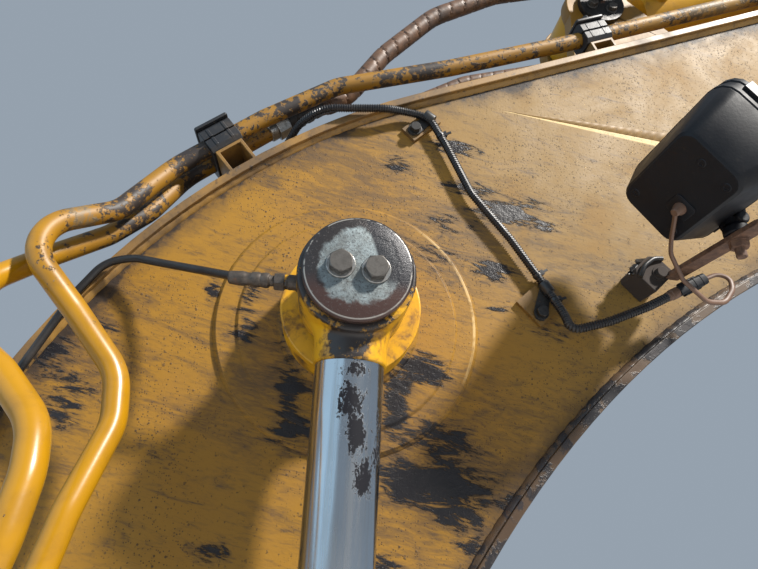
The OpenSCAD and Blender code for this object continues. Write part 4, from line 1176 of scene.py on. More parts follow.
def make_arm_hose(side, sign):
    path = even(mirrored(rounded(ARM_HOSE_ROUTE, 0.16, math.radians(5), 0.02), sign), 0.0035)
    hose = Shape().skin(guard_rings(path)).done(
        f"arm_hose_guard_{side}", None, GUARD, "guarded_hose",
        smooth=28, replaces=(f"arm_hose_{side}",),
    )
    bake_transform(hose)
    p, q = path[0], path[10]
    ferrule = [(0.0160, 0.030), (0.0170, 0.046), (0.0195, 0.048)]
    for low, high in ((0.050, 0.060), (0.070, 0.080), (0.090, 0.102)):
        ferrule += [(0.0215, low), (0.0215, high)]
        if high < 0.1:
            ferrule += [(0.0200, high + 0.002), (0.0200, high + 0.008)]
    ferrule += [(0.0195, 0.106), (0.0170, 0.106)]
    ends = Shape().at(axes_at(p, q - p)).lathe(ferrule, 36)
    ends.done(f"hose_ferrule_{side}", "boom", CLAMP, "clamp_plastic", bevel=0.0006)
    nut = Shape().at(axes_at(p, q - p)).hexagon(0.041, 0.026, 0.004)
    nut.at(axes_at(p, p - q)).lathe(
        [(0.0185, -0.004), (0.0190, -0.002), (0.0190, 0.010), (0.0170, 0.012), (0.0161, 0.012)], 32
    )
    nut.done(f"hose_nut_{side}", "boom", BRIGHT, "pin_steel", bevel=0.0006)
    low = ARM_PORT + sideways(-sign * PORT_Y)
    far = Shape().at(axes_at(low, sideways(-sign))).hexagon(0.043, 0.020, -0.002)
    far.lathe([(0.0195, 0.018), (0.0215, 0.020), (0.0215, 0.040), (0.0195, 0.044)], 32)
    far.done(f"hose_end_{side}", "arm_barrel", BRIGHT, "pin_steel", bevel=0.0006)


def make_grease_hose(side, sign):
    path = even(mirrored(rounded(GREASE_ROUTE, 0.06, math.radians(6), 0.02), sign), 0.006)
    hose = Shape().tube(path, GREASE_R).done(
        f"grease_line_{side}", None, RUBBER, "hose_rubber",
        smooth=50, replaces=(f"grease_hose_{side}",),
    )
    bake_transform(hose)
    p, q = path[0], path[5]
    crimp = Shape().at(axes_at(p, q - p)).lathe([
        (0.0060, -0.002), (0.0072, 0.0), (0.0072, 0.004), (0.0098, 0.006), (0.0104, 0.010),
        (0.0098, 0.014), (0.0092, 0.016), (0.0098, 0.018), (0.0104, 0.022), (0.0098, 0.027),
        (0.0086, 0.029), (0.0086, 0.034), (0.0092, 0.036), (0.0098, 0.040), (0.0092, 0.050),
        (0.0086, 0.056), (0.0068, 0.058), (0.0060, 0.058),
    ], 28)
    crimp.done(f"grease_ferrule_{side}", f"lift_rod_{side}", GRIMY, "pin_steel", bevel=0.0004)
    nut = Shape().at(axes_at(p + (p - q).normalized() * 0.024, q - p))
    nut.hexagon(0.0215, 0.0135, 0.009)
    nut.lathe(
        [(0.0096, -0.012), (0.0102, -0.010), (0.0102, 0.004), (0.0085, 0.006), (0.0085, 0.010)], 28
    )
    nut.done(f"grease_nut_{side}", f"lift_rod_{side}", GRIMY, "rusted_steel", bevel=0.0005)


def make_loom():
    path = loom_path()
    pitch = 4
    loom = Shape().tube(path, lambda k: LOOM_R + 0.0007 if k % pitch < 2 else LOOM_R - 0.0006, 12)
    loom.done("loom_tube", "boom", LOOM, "loom_plastic", smooth=25, replaces=("loom",))
    return path


def make_plug():
    m = axes_at(PLUG_A, PLUG_U, (0, 1, 0))
    length = (PLUG_B - PLUG_A).length
    s = Shape().at(m)

    def slab(w, h, z0, z1, r=0.004):
        s.skin([[(x, y, z) for x, y in rounded_rect(w, h, r)] for z in (z0, z1)])

    slab(0.0185, 0.0165, 0.016, length * 0.52)
    slab(0.0200, 0.0185, length * 0.48, length - 0.004, 0.005)
    slab(0.0212, 0.0195, length * 0.62, length * 0.68, 0.005)
    slab(0.0212, 0.0195, length * 0.80, length * 0.84, 0.005)
    slab(0.0095, 0.0225, length * 0.34, length * 0.76, 0.002)
    s.lathe([(0.0080, length - 0.006), (0.0072, length - 0.001), (0.0055, length)], 24)
    s.done("plug_body", "boom", LAMP, "loom_plastic", bevel=0.0009, replaces=("loom_plug",))
    seal = Shape().at(m)
    seal.lathe(
        [(0.0060, -0.004), (0.0078, -0.002), (0.0078, 0.003), (0.0088, 0.004), (0.0088, 0.017)], 24
    )
    seal.done("plug_seal", "boom", BROWN_LEAD, "loom_plastic", bevel=0.0004)
    path = lead_path()
    flat = [heading(math.tau * i / LEAD_SIDES) for i in range(LEAD_SIDES)]
    rings = [
        [p + x * t.x * LEAD_WIDE + y * t.y * LEAD_THICK for t in flat] for p, x, y in carried(path)
    ]
    Shape().skin(rings).done("lamp_lead", "boom", BROWN_LEAD, "loom_plastic", smooth=50)
    end, before = path[-1], path[-4]
    grommet = Shape().at(axes_at(end, before - end))
    grommet.lathe([
        (0.0088, -0.003), (0.0094, 0.0), (0.0090, 0.005), (0.0068, 0.008), (0.0062, 0.014),
        (0.0048, 0.016),
    ], 28)
    grommet.done("lead_grommet", "boom", BROWN_LEAD, "loom_plastic", bevel=0.0004)


def bolt_on(shape, at, axis, af, h, washer=None, x=None):
    """A bolt head seated at a point, with its washer."""
    m = axes_at(at, axis, x)
    z = 0.0
    if washer:
        r, t = washer
        shape.at(m).lathe([(r, -0.001), (r, t * 0.75), (r - t * 0.25, t), (af * 0.5, t)], 32)
        z = t
    shape.at(m).hexagon(af, h, z - 0.0005)


def tie(shape, p, along, r=LOOM_R + 0.0012, w=0.0045):
    """A cable tie round the loom, with its head."""
    m = axes_at(p, along)
    shape.at(m).lathe([(r - 0.001, -w / 2), (r, -w / 2), (r, w / 2), (r - 0.001, w / 2)], 24)
    shape.at(m).box((r - 0.001, -0.004, -0.0045), (r + 0.004, 0.004, 0.0045))
    shape.at(m).box((r + 0.003, -0.0012, -0.002), (r + 0.014, 0.0008, 0.002))


def make_clips(path):
    r = LOOM_R
    for k, (c, at) in enumerate(((CLIP_A, BOLT_A), (CLIP_B, BOLT_B)), 1):
        here, root = with_y(c, -LOOM_Y), with_y(c, at.y)
        strap = Shape().at(axes_at(here, path_direction(path, here)))
        strap.lathe([
            (r - 0.0005, -0.010), (r + 0.0026, -0.010), (r + 0.0032, -0.008),
            (r + 0.0032, 0.008), (r + 0.0026, 0.010), (r - 0.0005, 0.010),
        ], 28)
        strap.done(f"clip_band_{k}", "boom", RUBBER, "loom_plastic", bevel=0.0004)
        side, reach = (at - root).normalized(), (at - root).length
        upper = [(reach + 0.014, 0.0), (reach + 0.012, 0.007), (reach, 0.012), (0.0, 0.009)]
        tab = Shape().at(axes_at(root, (0, -1, 0), side))
        tab.prism([(x, -y) for x, y in upper[:0:-1]] + upper, -0.0002, 0.0026)
        tab.done(f"clip_tab_{k}", "boom", DARK_STEEL, "rusted_steel", bevel=0.0005)
        bolts = Shape()
        bolt_on(
            bolts, at - Vector((0, 0.0024, 0)), (0, -1, 0), 0.017, 0.0095, (0.0125, 0.0022), side
        )
        bolts.done(f"clip_bolt_{k}", "boom", DARK_STEEL, "pin_steel", bevel=0.0005)
    ties = Shape()
    for c in (
        near(0.350, -LOOM_Y, 0.155), near(0.286, -LOOM_Y, -0.140), near(0.275, -0.234, -0.190)
    ):
        tie(ties, nearest(path, c), path_direction(path, c))
    ties.done("loom_ties", "boom", LOOM, "loom_plastic")


def nearest(path, p):
    return min(path, key=lambda q: (q - p).length)


def path_direction(path, p):
    i = min(range(len(path)), key=lambda k: (path[k] - p).length)
    return path[min(len(path) - 1, i + 3)] - path[max(0, i - 3)]


# Weld beads
def bead(shape, points, normals, walls, leg, seed):
    """A fillet weld: points along the corner, normals and walls are the two surfaces' ways out."""
    rnd = random.Random(seed)
    phase, rings = 0.0, []
    for p, n, w in zip(points, normals, walls):
        phase += 0.85 + rnd.random() * 0.3
        size = leg * (1 + 0.06 * math.sin(phase) + rnd.uniform(-0.03, 0.03))
        deep = leg * 0.25
        rings.append([
            p - n * deep - w * deep, p + w * size - n * deep, p + w * size * 0.98 + n * 0.0006,
            p + w * size * 0.66 + n * size * 0.42, p + w * size * 0.42 + n * size * 0.66,
            p + w * 0.0006 + n * size * 0.98, p + n * size - w * deep,
        ])
    return shape.skin(rings)


def outline_bead(bend, side_of_plate, name, material, leg=0.011):
    """Along the corner between a side plate and the top or belly plate."""
    for side, sign in OUTWARD:
        tail = bend.tail + 0.02
        count = int((bend.end - 0.01 - tail) / WELD_STEP)
        places = [tail + WELD_STEP * i for i in range(count + 1)]
        points = [bend.at(s, -side_of_plate * (FLANGE_T + FACE_GAP), sign * HALF_W) for s in places]
        normals = [-bend.axes(s)[1] * side_of_plate for s in places]
        weld = bead(Shape(), points, normals, [sideways(sign)] * len(points), leg, 3)
        weld.done(f"{name}_{side}", "boom", material, "boom_yellow", smooth=45)


def round_bead(shape, centre, axis, r, leg, seed, step=0.0036):
    """Round a boss: centre on the plate's face."""
    m = axes_at(centre, axis)
    turned, n = m.to_3x3(), int(math.tau * r / step)
    turns = [heading(math.tau * i / n) for i in range(n + 1)]
    points = [m @ Vector((t.x * r, t.y * r, 0)) for t in turns]
    walls = [turned @ Vector((t.x, t.y, 0)) for t in turns]
    return bead(shape, points, [turned.col[2].copy()] * len(turns), walls, leg, seed)


def make_welds():
    outline_bead(top, 1, "top_weld", WELD, 0.007)
    outline_bead(belly, -1, "belly_weld", BELLY_LIP, 0.008)
    ring_face = HALF_W + RING_T
    for side, sign in OUTWARD:
        out = sideways(sign)
        s = Shape()
        round_bead(s, at_lift_pin(sign * HALF_W), out, RING_R, RING_T * 0.72, 5)
        round_bead(s, at_lift_pin(sign * ring_face), out, INNER_RING_R, INNER_RING_T * 0.8, 6)
        round_bead(s, at_lift_pin(sign * (ring_face + INNER_RING_T)), out, BOSS_R, 0.009, 7)
        round_bead(s, sideways(sign * (HALF_W + FACE_GAP)), out, FOOT_BOSS_R, 0.006, 8)
        s.done(f"boss_welds_{side}", "boom", SIDE, "boom_yellow", smooth=45)
        seam_ripples(side, sign)


def seam_ripples(side, sign, n=150, across=8):
    """Weld ripples on the upper flank of the side plate's seam, and its sharp upper edge."""
    ahead = Vector((math.cos(SEAM_DROP), -math.sin(SEAM_DROP)))
    up = Vector((-ahead.y, ahead.x))
    rnd = random.Random(11)
    phase, rings = 0.0, []
    for i in range(n + 1):
        u = 0.030 + 0.300 * i / n
        share = min(u, SEAM_L - u) / (SEAM_L / 2)
        half, deep = SEAM_HALF * share, 0.55 * SIDE_T * share
        phase += 0.62 + rnd.random() * 0.3
        row = []
        for k in range(across + 1):
            c = k / across
            q = Vector(SEAM_P) + ahead * u + up * half * (c + 0.10 * (k == across))
            ripple = share * (0.0011 + 0.0006 * math.sin(phase - 2.2 * c))
            bulge = 0.0005 + ripple * math.sin(math.pi * min(1, c * 0.9 + 0.1))
            row.append(near(q.x, sign * (HALF_W - deep * (1 - c) + bulge), q.y))
        row.append(near(q.x, sign * (HALF_W - 0.001), q.y))
        row.append(
            near(SEAM_P[0] + ahead.x * u, sign * (HALF_W - deep - 0.001), SEAM_P[1] + ahead.y * u)
        )
        rings.append(row)
    Shape().skin(rings).done(f"seam_weld_{side}", "boom", SEAM, "boom_yellow", smooth=60)


# Clamps
def make_clamps():
    shapes = black, screws, yellow = Shape(), Shape(), Shape()
    for sign in (1, -1):
        flip = Matrix.Scale(sign, 4, (0, 1, 0))
        for s, two in [(CROWN_S, True), *[(f, False) for f in FRONT_S]]:
            x, z = top.axes(s)
            h = CROWN_H if two else PIPE_H
            w = (PIPE_PITCH if two else 0) + 2 * BLOCK_R
            base = frame_of(top.at(s, 0, 0), x, Vector((0, 1, 0)), z)
            base = base @ Matrix.Translation((0, -PIPE_Y - BLOCK_R + w / 2, h))
            clamp(flip @ base, w, shapes, h - BLOCK_R, two, True)
        for d in REAR_CLAMPS:
            x, z = chord(math.cos(REAR_SLOPE), 0, math.sin(REAR_SLOPE)), Vector((0, -1, 0))
            base = frame_of(side_pt(d, SIDE_PITCH / 2, -SIDE_Y), x, z.cross(x), z)
            w, under = SIDE_PITCH + 2 * BLOCK_R, SIDE_Y - HALF_W - BLOCK_R
            clamp(flip @ base, w, shapes, under, True, False)
    black.done(
        "pipe_clamps", "boom", CLAMP, "clamp_plastic", bevel=0.0016, replaces=("clamp_blocks",)
    )
    screws.done("clamp_bolts", "boom", DARK_STEEL, "clamp_plastic", bevel=0.0006)
    yellow.done(
        "clamp_channels", "boom", BRACKET, "boom_yellow", bevel=0.0012, replaces=("clamp_brackets",)
    )


def clamp(m, w, shapes, under, two, on_top):
    """Two halves round the pipes, a cover plate with bolts and a channel under them."""
    black, screws, yellow = shapes
    c, half, edge = CLAMP_L / 2, BLOCK_R, BLOCK_ROUND
    outline = [
        (-w / 2, BLOCK_GAP), (w / 2, BLOCK_GAP), (w / 2, half - edge), (w / 2 - edge, half),
        (-w / 2 + edge, half), (-w / 2, half - edge),
    ]
    black.at(m)
    for flip in (1, -1):
        black.skin([[(x, y, z * flip) for y, z in outline] for x in (-c, c)])
        for x in (-c * RIB_AT, c * RIB_AT):
            ribs = (-RIB_HALF_W, RIB_HALF_W)
            black.skin([[(x + d, y * 1.03, z * flip * 0.96) for y, z in outline] for d in ribs])
    if on_top:
        cover = rounded_rect(CLAMP_L + 2 * COVER_LIP, w + 2 * COVER_LIP, 0.004)
        black.prism(cover, half - 0.001, half + COVER_T)
    up = m.to_3x3() @ Vector((0, 0, 1))
    face = half + (COVER_T if on_top else 0)
    size = (0.017, 0.009, (0.012, 0.002)) if two else (0.013, 0.009, (0.009, 0.002))
    for y in [0.0] if two else [-0.5 * w + 0.011, 0.5 * w - 0.011]:
        bolt_on(screws, m @ Vector((0, y, face)), up, *size)
    if two:
        for y in (-w / 2 + 0.012, w / 2 - 0.012):
            bolt_on(screws, m @ Vector((0, y, face - 0.0005)), up, 0.010, 0.004)
    wide, deep = CLAMP_L / 2 - SADDLE_IN, w / 2 - SADDLE_IN
    low, high = -half - under - (0.004 if on_top and two else -0.0002), -half - 0.0002
    inner, roof = wide - SADDLE_T, -half - SADDLE_T
    inside = [(-inner, low), (-inner, roof), (inner, roof), (inner, low)] if on_top else []
    channel = [(-wide, low), *inside, (wide, low), (wide, high), (-wide, high)]
    yellow.at(m).skin([[(x, y, z) for x, z in channel] for y in (-deep, deep)])


# Lift pin and eyes
def forged(node, name, material, body, voxel=0.0026, rounds=9):
    """A node's shape with the soft corners of a forging."""
    src = frame["nodes"][node]
    obj = bpy.data.objects.new(name + "_raw", src.data.copy())
    bpy.context.scene.collection.objects.link(obj)
    remesh = obj.modifiers.new("remesh", "REMESH")
    remesh.mode = "VOXEL"
    remesh.voxel_size = voxel
    soft = obj.modifiers.new("soft", "SMOOTH")
    soft.factor = 0.5
    soft.iterations = rounds
    mesh = bpy.data.meshes.new_from_object(obj.evaluated_get(bpy.context.evaluated_depsgraph_get()))
    bpy.data.objects.remove(obj)
    mesh.name = name
    mesh.materials.clear()
    mesh.materials.append(material)
    mesh.shade_smooth()
    out = bpy.data.objects.new(name, mesh)
    bpy.context.scene.collection.objects.link(out)
    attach(out, body)
    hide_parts(node)


def make_pin_caps():
    x = Vector((math.cos(CAP_TURN), 0, -math.sin(CAP_TURN)))
    rim = CAP_T - CAP_EDGE
    for side, sign in OUTWARD:
        out, face = sideways(sign), at_lift_pin(sign * CAP_Y)
        s = Shape().at(axes_at(face, out, x)).lathe([
            (0.0480, -0.0002), (0.0640, 0.0), (CAP_R - 0.001, 0.0012), (CAP_R, 0.003), (CAP_R, rim),
            (CAP_R - 0.0006, rim + 0.0008), (CAP_R - 0.0022, CAP_T - 0.0006),
            (CAP_R - CAP_EDGE - 0.0006, CAP_T), (0.03, CAP_T),
        ], 96)
        s.done(
            f"cap_disc_{side}", "boom", CAP, "pin_steel", smooth=30, replaces=(f"pin_cap_{side}",)
        )
        bolts, washers = Shape(), Shape()
        for k, d in enumerate((-1, 1)):
            at = face + out * CAP_T + x * d * CAP_BOLT_PITCH / 2
            turn = x.lerp(Vector((0, 0, 1)), 0.1 + 0.35 * k)
            bolt_on(bolts, at + out * WASHER_T, out, CAP_BOLT_AF, CAP_BOLT_H, None, turn)
            washers.at(axes_at(at, out)).lathe([
                (WASHER_R, -0.001), (WASHER_R, WASHER_T * 0.7), (WASHER_R - 0.0008, WASHER_T),
                (0.012, WASHER_T),
            ], 40)
        bolts.done(f"cap_bolts_{side}", "boom", BOLT, "pin_steel", bevel=0.0006, smooth=25)
        washers.done(f"cap_washers_{side}", "boom", BRIGHT, "pin_steel", bevel=0.0003)


def make_eyes():
    for side in SIDES:
        forged(f"lift_eye_{side}", f"lift_eye_forging_{side}", EYE, f"lift_rod_{side}")
    forged("arm_cyl_eye", "arm_eye_forging", YELLOW, "arm_rod", 0.004, 6)


# Work lamp
def make_lamp():
    m = lamp_axes()
    w, h, face = LAMP_W / 2, LAMP_H / 2, LAMP_L / 2
    rim = face - LAMP_RIM

    def row(x, k=1.0, r=LAMP_CORNER, inset=0.0):
        outline = rounded_rect(LAMP_W * k - 2 * inset, LAMP_H * k - 2 * inset, r * k)
        return [(x, y, z) for y, z in outline]

    shell = Shape().at(m).skin([
        row(-face, LAMP_TAPER, 0.024, 0.004), row(-face + 0.004, LAMP_TAPER),
        row(rim - 0.002, LAMP_STEP),
        row(rim, LAMP_STEP), row(rim + 0.0005), row(rim + 0.007), row(rim + 0.0075, LAMP_STEP),
        row(face - 0.009, LAMP_STEP), row(face - 0.0085), row(face), row(face, 1.0, 0.020, 0.009),
        row(face - 0.010, 1.0, 0.020, 0.010),
    ])
    shell.done(
        "lamp_shell", "boom", LAMP, "lamp_plastic",
        bevel=0.0018, smooth=24, segments=3, replaces=("lamp_housing",),
    )
    back = Shape()
    for y, z in LAMP_BACK_SCREWS:
        back.at(m @ axes_at((-face + 0.001, y, z), (-1, 0, 0))).lathe([
            (0.0065, -0.004), (0.0065, 0.0008), (0.0056, 0.0018), (0.0030, 0.0018), (0.0026, -0.001)
        ], 20)
    patch = rounded_rect(0.030, 0.034, 0.006)
    back.at(m).skin([
        [(-face - d, y * k + LEAD_AT[0], z * k + LEAD_AT[1]) for y, z in patch]
        for d, k in ((-0.004, 1.0), (0.0016, 1.0), (0.0022, 0.92))
    ])
    back.done("lamp_back_details", "boom", LAMP, "lamp_plastic", bevel=0.0004)
    clips = Shape().at(m)
    for y, z, tall in ((0, h, 0), (-0.060, -h, 0), (0.060, -h, 0), (-w, 0.030, 1), (w, 0.030, 1)):
        wide, high = (0.0025, 0.018) if tall else (0.018, 0.0025)
        corners = ((-wide, -high), (wide, -high), (wide, high), (-wide, high))
        clips.skin([[(face + x, y + dy, z + dz) for dy, dz in corners] for x in (-0.016, 0.002)])
    clips.done("lamp_bezel_clips", "boom", RUBBER, "lamp_plastic", bevel=0.0008)
    lens_w, lens_h = LAMP_W - LAMP_LENS_EDGE, LAMP_H - LAMP_LENS_EDGE
    lens = Shape().at(m).skin([
        [(face + x, y, z) for y, z in rounded_rect(lens_w * k, lens_h * k, 0.018 * k, 5)]
        for x, k in ((-0.004, 1.0), (0.002, 0.98), (0.0045, 0.7), (0.0050, 0.2))
    ])
    lens.done("lamp_lens", "boom", GLASS, "lamp_glass", smooth=60, replaces=("lamp_glass",))
    make_knuckle()
    make_lamp_bar()
    make_bar_foot()


def make_knuckle():
    """The joint between the lamp's housing and its bar."""
    s = Shape().at(axes_at(KNUCKLE, BAR_UP, BAR_U)).lathe([
        (0.0150, END_GAP), (0.0170, 0.002), (0.0170, 0.012), (0.0150, 0.014), (0.0140, 0.018),
        (0.0140, 0.026), (0.0168, 0.032), (0.0170, 0.044), (0.0120, 0.052),
    ], 36)
    for sign in (-1, 1):
        s.at(axes_at(KNUCKLE + BAR_UP * 0.022, BAR_U * sign, BAR_UP))
        s.lathe([(0.010, 0.008), (0.010, 0.017), (0.008, 0.019), (0.004, 0.019)], 28)
    s.done("lamp_knuckle", "boom", LAMP, "lamp_plastic", bevel=0.0012)


def make_lamp_bar():
    length = (KNUCKLE - BAR_ROOT).length + BAR_PAST
    w, t = LAMP_BAR_W / 2, LAMP_BAR_T
    outline = [(0.0, -w), (length - 0.006, -w), (length - 0.002, -w + 0.002), (length, -w + 0.006)]
    outline += [(x, -y) for x, y in outline[::-1]]
    bar = Shape().at(frame_of(BAR_ROOT, BAR_U, BAR_UP.cross(BAR_U), BAR_UP)).prism(outline, -t, 0.0)
    bar.done("lamp_flat_bar", "boom", RUSTED, "rusted_steel", bevel=0.0012, replaces=("lamp_bar",))
    bolt = Shape().at(axes_at(KNUCKLE - BAR_UP * t, -BAR_UP, BAR_U))
    bolt.lathe([(0.0130, -0.001), (0.0130, 0.0022), (0.0122, 0.0026), (0.0100, 0.0026)], 32)
    bolt.hexagon(0.0225, 0.0098, 0.0022)
    bolt.lathe([(0.0070, -0.001), (0.0070, 0.0245), (0.0060, 0.0260)], 24)
    bolt.done("lamp_bolt", "boom", RUSTED, "rusted_steel", bevel=0.0006)


def make_bar_foot():
    """The block on the side plate, with torn tape and a turn of wire on it."""
    m = frame_of(near(0.397, -HALF_W - FOOT_OUT, -0.286), ALONG, Vector((0, 1, 0)), ABOVE)
    l, h = FOOT_L, FOOT_H
    outline = [(0.0, 0.0), (l, 0.0), (l, h - 0.010), (l - 0.012, h), (0.006, h), (0.0, h - 0.006)]
    block = Shape().at(m).skin([[(x, y, z) for x, z in outline] for y in (0.0, FOOT_OUT)])
    block.done("lamp_bar_foot", "boom", FOOT_PAINT, "rusted_steel", bevel=0.0016)
    rnd = random.Random(4)
    tape = Shape().at(m)
    for i in range(TAPE_STRIPS):
        x0, y0 = 0.004 + 0.0065 * i, rnd.uniform(0.002, 0.016)
        rise, lean = rnd.uniform(0.006, 0.014), rnd.uniform(-0.006, 0.006)
        strip = []
        for k in range(6):
            s = k / 5
            wave = 0.0035 * math.sin(3.1 * s + i)
            wide = 0.0075 * (1 - 0.55 * s * s) * rnd.uniform(0.75, 1.1)
            x, y, z = x0 + lean * s, y0 + 0.004 * s + wave, h - 0.004 + rise * s
            strip.append([
                (x - wide, y, z), (x + wide, y + 0.002, z - 0.001),
                (x + wide, y + 0.0032, z), (x - wide, y + 0.0016, z + 0.001),
            ])
        tape.skin(strip)
    path = even(rounded([m @ Vector(p) for p in FOOT_WIRE], 0.02), 0.004)
    tape.at(Matrix.Identity(4)).tube(path, 0.0042, 10)
    tape.done("foot_tape", "boom", RUBBER, "loom_plastic", smooth=60)
    b = Shape()
    bolt_on(b, m @ Vector((0.030, 0.0, 0.016)), (0, -1, 0), 0.017, 0.009, (0.0125, 0.002))
    b.done("lamp_foot_bolts", "boom", FOOT_PAINT, "rusted_steel", bevel=0.0006)


# Foot and tip bushes, arm bracket, cylinders
def annulus(shape, m, r_in, r_out, z0, z1, n=64, edge=0.0015):
    top_edge = [(r_out, z1 - edge), (r_out - edge, z1), (r_in + edge, z1), (r_in, z1 - edge)]
    shape.at(m).lathe([(r_in, z0), (r_out, z0), *top_edge], n, closed=True, capped=False)


def make_bushes():
    s, nipples = Shape(), Shape()
    for sign in (-1, 1):
        out = sideways(sign)
        r_in, r_out, h = FOOT_BUSH
        annulus(s, axes_at(out * (FOOT_W / 2 - h), out), r_in, r_out, 0.0, h)
        r_in, r_out, h = TIP_BUSH
        annulus(s, axes_at((TIP.x, sign * (HALF_W - 0.028), TIP.z), out), r_in, r_out, 0.0, h)
        at = Vector((TIP.x, sign * HALF_W, TIP.z)) + ABOVE * TIP_NIPPLE_UP
        nipples.at(axes_at(at, out)).hexagon(0.011, 0.006)
        nipples.lathe([
            (0.0030, 0.005), (0.0030, 0.009), (0.0042, 0.011), (0.0042, 0.014), (0.0025, 0.017),
            (0.001, 0.0175),
        ], 20)
    s.done("bushes", "boom", DARK_STEEL, "pin_steel")
    nipples.done("grease_nipples", "boom", BRIGHT, "pin_steel")


def make_arm_pin():
    ear_out = ARM_EAR_IN + ARM_EAR_T
    for side, sign in OUTWARD:
        out = sideways(sign)
        end = ARM_PIN + out * (ear_out + ARM_PIN_PLATE_T)
        s = Shape()
        for k in range(3):
            a = math.tau * (k / 3 + 0.1)
            spot = end + (ALONG * math.cos(a) + ABOVE * math.sin(a)) * ARM_PIN_BOLTS_R
            bolt_on(s, spot, out, 0.019, 0.010, (0.0135, 0.0025))
        s.done(f"arm_pin_bolts_{side}", "boom", BOLT, "pin_steel", bevel=0.0006)
    welds, n = Shape(), 81
    middle, half = ARM_BRACKET_S, ARM_BRACKET_HALF
    for sign in (-1, 1):
        for face, out in ((ARM_EAR_IN, sideways(-sign)), (ear_out, sideways(sign))):
            spots = [middle - half + 2 * half * i / (n - 1) for i in range(n)]
            points = [top.at(s, DOUBLER_TOP, sign * face) for s in spots]
            bead(welds, points, [top.axes(middle)[1]] * n, [out] * n, 0.009, 12)
    welds.done("bracket_welds", "boom", WELD, "boom_yellow", smooth=45)


def screws_round(m, r):
    """A gland's socket screws, in a circle."""
    shape, d, h = Shape(), GLAND_SCREW_D, GLAND_SCREW_H
    for i in range(GLAND_SCREWS):
        t = heading(math.tau * i / GLAND_SCREWS) * r
        shape.at(m @ Matrix.Translation((t.x, t.y, 0))).lathe([
            (d / 2, -0.001), (d / 2, h * 0.9), (d / 2 - h * 0.1, h), (d * 0.28, h),
            (d * 0.27, h * 0.45), (0.001, h * 0.45),
        ], 20)
    return shape


def wiper(m, radii):
    shape = Shape()
    annulus(shape, m, *radii, WIPER_SINK, WIPER_H)
    return shape


def make_cylinder_details():
    for side, sign in OUTWARD:
        body = f"lift_barrel_{side}"
        x, y = LIFT.x, sign * CYL_Y
        foot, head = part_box(body)[0].z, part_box(f"lift_gland_{side}")[1].z

        def upright(z):
            return axes_at((x, y, z), (0, 0, 1))

        screws = screws_round(upright(head - GLAND_FLANGE_T), LIFT_SCREWS_R)
        screws.done(f"gland_screws_{side}", body, DARK_STEEL, "bright_yellow")
        wiper(upright(head), LIFT_WIPER).done(f"rod_wiper_{side}", body, RUBBER, "bright_yellow")
        neck_top = foot + BASE_EYE_R + math.sqrt(BASE_EYE_R ** 2 - BASE_NECK_HALF ** 2) + 0.008
        weld = Shape().at(upright(neck_top)).lathe(
            [(0.070, -0.006), (0.0745, -0.003), (0.0755, 0.0), (0.0745, 0.003), (0.070, 0.006)], 64
        )
        weld.done(f"barrel_weld_{side}", body, YELLOW, "bright_yellow", smooth=60)
        nut = Shape()
        for z in (foot + BASE_EYE_R + 0.165, head - 0.120 - 0.100):
            nut.at(axes_at((x + BARREL_R + TUBE_OUT, y, z), (0, 0, 1), (0, 1, 0)))
            nut.hexagon(0.032, 0.016)
        nut.done(f"barrel_tube_nuts_{side}", body, BRIGHT, "bright_yellow", bevel=0.0006)
        bands, half = Shape(), BAND_HALF_W
        for k in range(3):
            z = foot + BAND_FIRST + k * BAND_PITCH
            annulus(bands, upright(z), *BAND_R, -half, half)
            bands.at(Matrix.Identity(4))
            bands.box((x + 0.070, y - 0.016, z - half), (x + 0.101, y + 0.016, z + half))
        bands.done(f"barrel_tube_clamps_{side}", body, YELLOW, "bright_yellow", bevel=0.0010)
    end = ARM_PIN + ARM_AXIS * (ARM_BARREL_L - ARM_GLAND_L + ARM_GLAND_L * 0.9)
    screws = screws_round(axes_at(end, ARM_AXIS), ARM_SCREWS_R)
    screws.done("arm_gland_screws", "arm_barrel", DARK_STEEL, "bright_yellow")
    wiped = axes_at(end + ARM_AXIS * GLAND_FLANGE_T, ARM_AXIS)
    wiper(wiped, ARM_WIPER).done("arm_rod_wiper", "arm_barrel", RUBBER, "bright_yellow")


make_eyes()
make_lines()
loom = make_loom()
make_plug()
make_clips(loom)
make_welds()
make_clamps()
make_pin_caps()
make_lamp()
make_bushes()
make_arm_pin()
make_cylinder_details()


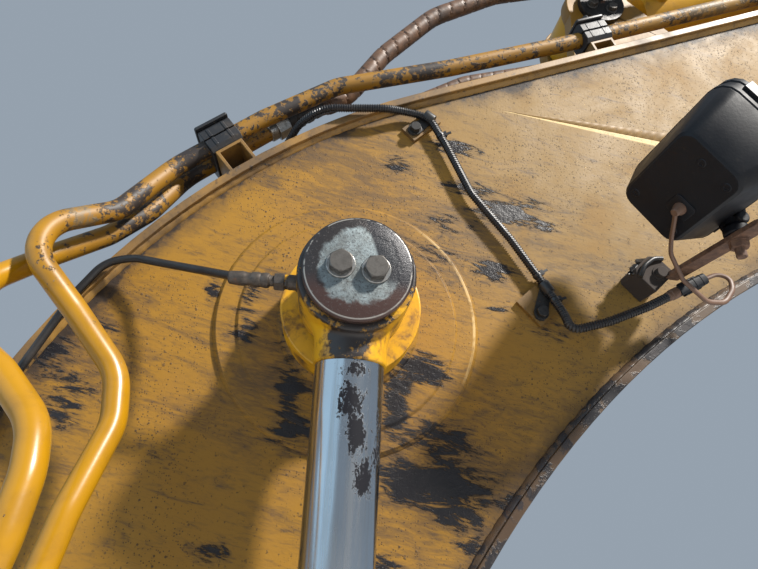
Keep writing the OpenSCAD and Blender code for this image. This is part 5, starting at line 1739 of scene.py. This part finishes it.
def soften(width, *nodes):
    """Rounds CAD nodes' edges without touching their meshes."""
    for node in nodes:
        obj = frame["nodes"][node]
        obj.modifiers.new("weld", "WELD").merge_threshold = 0.00002
        round_edges(obj, width)


soften(0.0012, *both("boss_rings"))
soften(0.0015, "arm_pin")
soften(0.0016, "top_plate", "belly_plate", "tip_ears", "arm_cyl_barrel", "arm_cyl_gland")
soften(0.0016, *both("lift_barrel"), *both("lift_gland"))
soften(0.0020, "arm_bracket", "foot_boss")
soften(0.0025, "lift_boss")


# Stage
FLOOR_DROP = 0.02
FLOOR_R = 12.0
FLOOR_COLOR = (0.52, 0.515, 0.51)
SKY_COLOR = (0.72, 0.85, 1.00, 1)
SKY_STRENGTH = 0.42
# Where each light is, how far, its size in metres, power in watts and color
KEY_LIGHT = ((0.54, -0.50, 0.68), 15.0, 1.3, 5300, (1.0, 0.955, 0.89))
FILL_LIGHT = ((-0.80, -0.55, 0.25), 6.0, 8.0, 120, (0.50, 0.78, 1.0))


def light(name, toward, far, size, power, color):
    """A round soft light that shines on the lift pin from a way off."""
    data = bpy.data.lights.new(name, "AREA")
    data.shape = "DISK"
    data.size = size
    data.energy = power
    data.color = color
    lamp = bpy.data.objects.new(name, data)
    toward = Vector(toward).normalized()
    lamp.matrix_world = axes_at(LIFT + toward * far, toward)
    bpy.context.scene.collection.objects.link(lamp)


def stage():
    s = Shape().at(Matrix.Translation((LIFT.x, 0, cad_box[0][2] - FLOOR_DROP)))
    s.lathe([(0.01, 0.0), (FLOOR_R, 0.0), (FLOOR_R + 0.05, -0.05)], 96)
    s.done("floor", None, plain("floor", FLOOR_COLOR, 0.85), None)
    world = bpy.data.worlds.new("studio")
    bpy.context.scene.world = world
    world.use_nodes = True
    background = world.node_tree.nodes["Background"]
    background.inputs["Color"].default_value = SKY_COLOR
    background.inputs["Strength"].default_value = SKY_STRENGTH
    light("key", *KEY_LIGHT)
    light("fill", *FILL_LIGHT)


stage()
view = bpy.context.scene.view_settings
view.view_transform = "Standard"
view.look = "None"
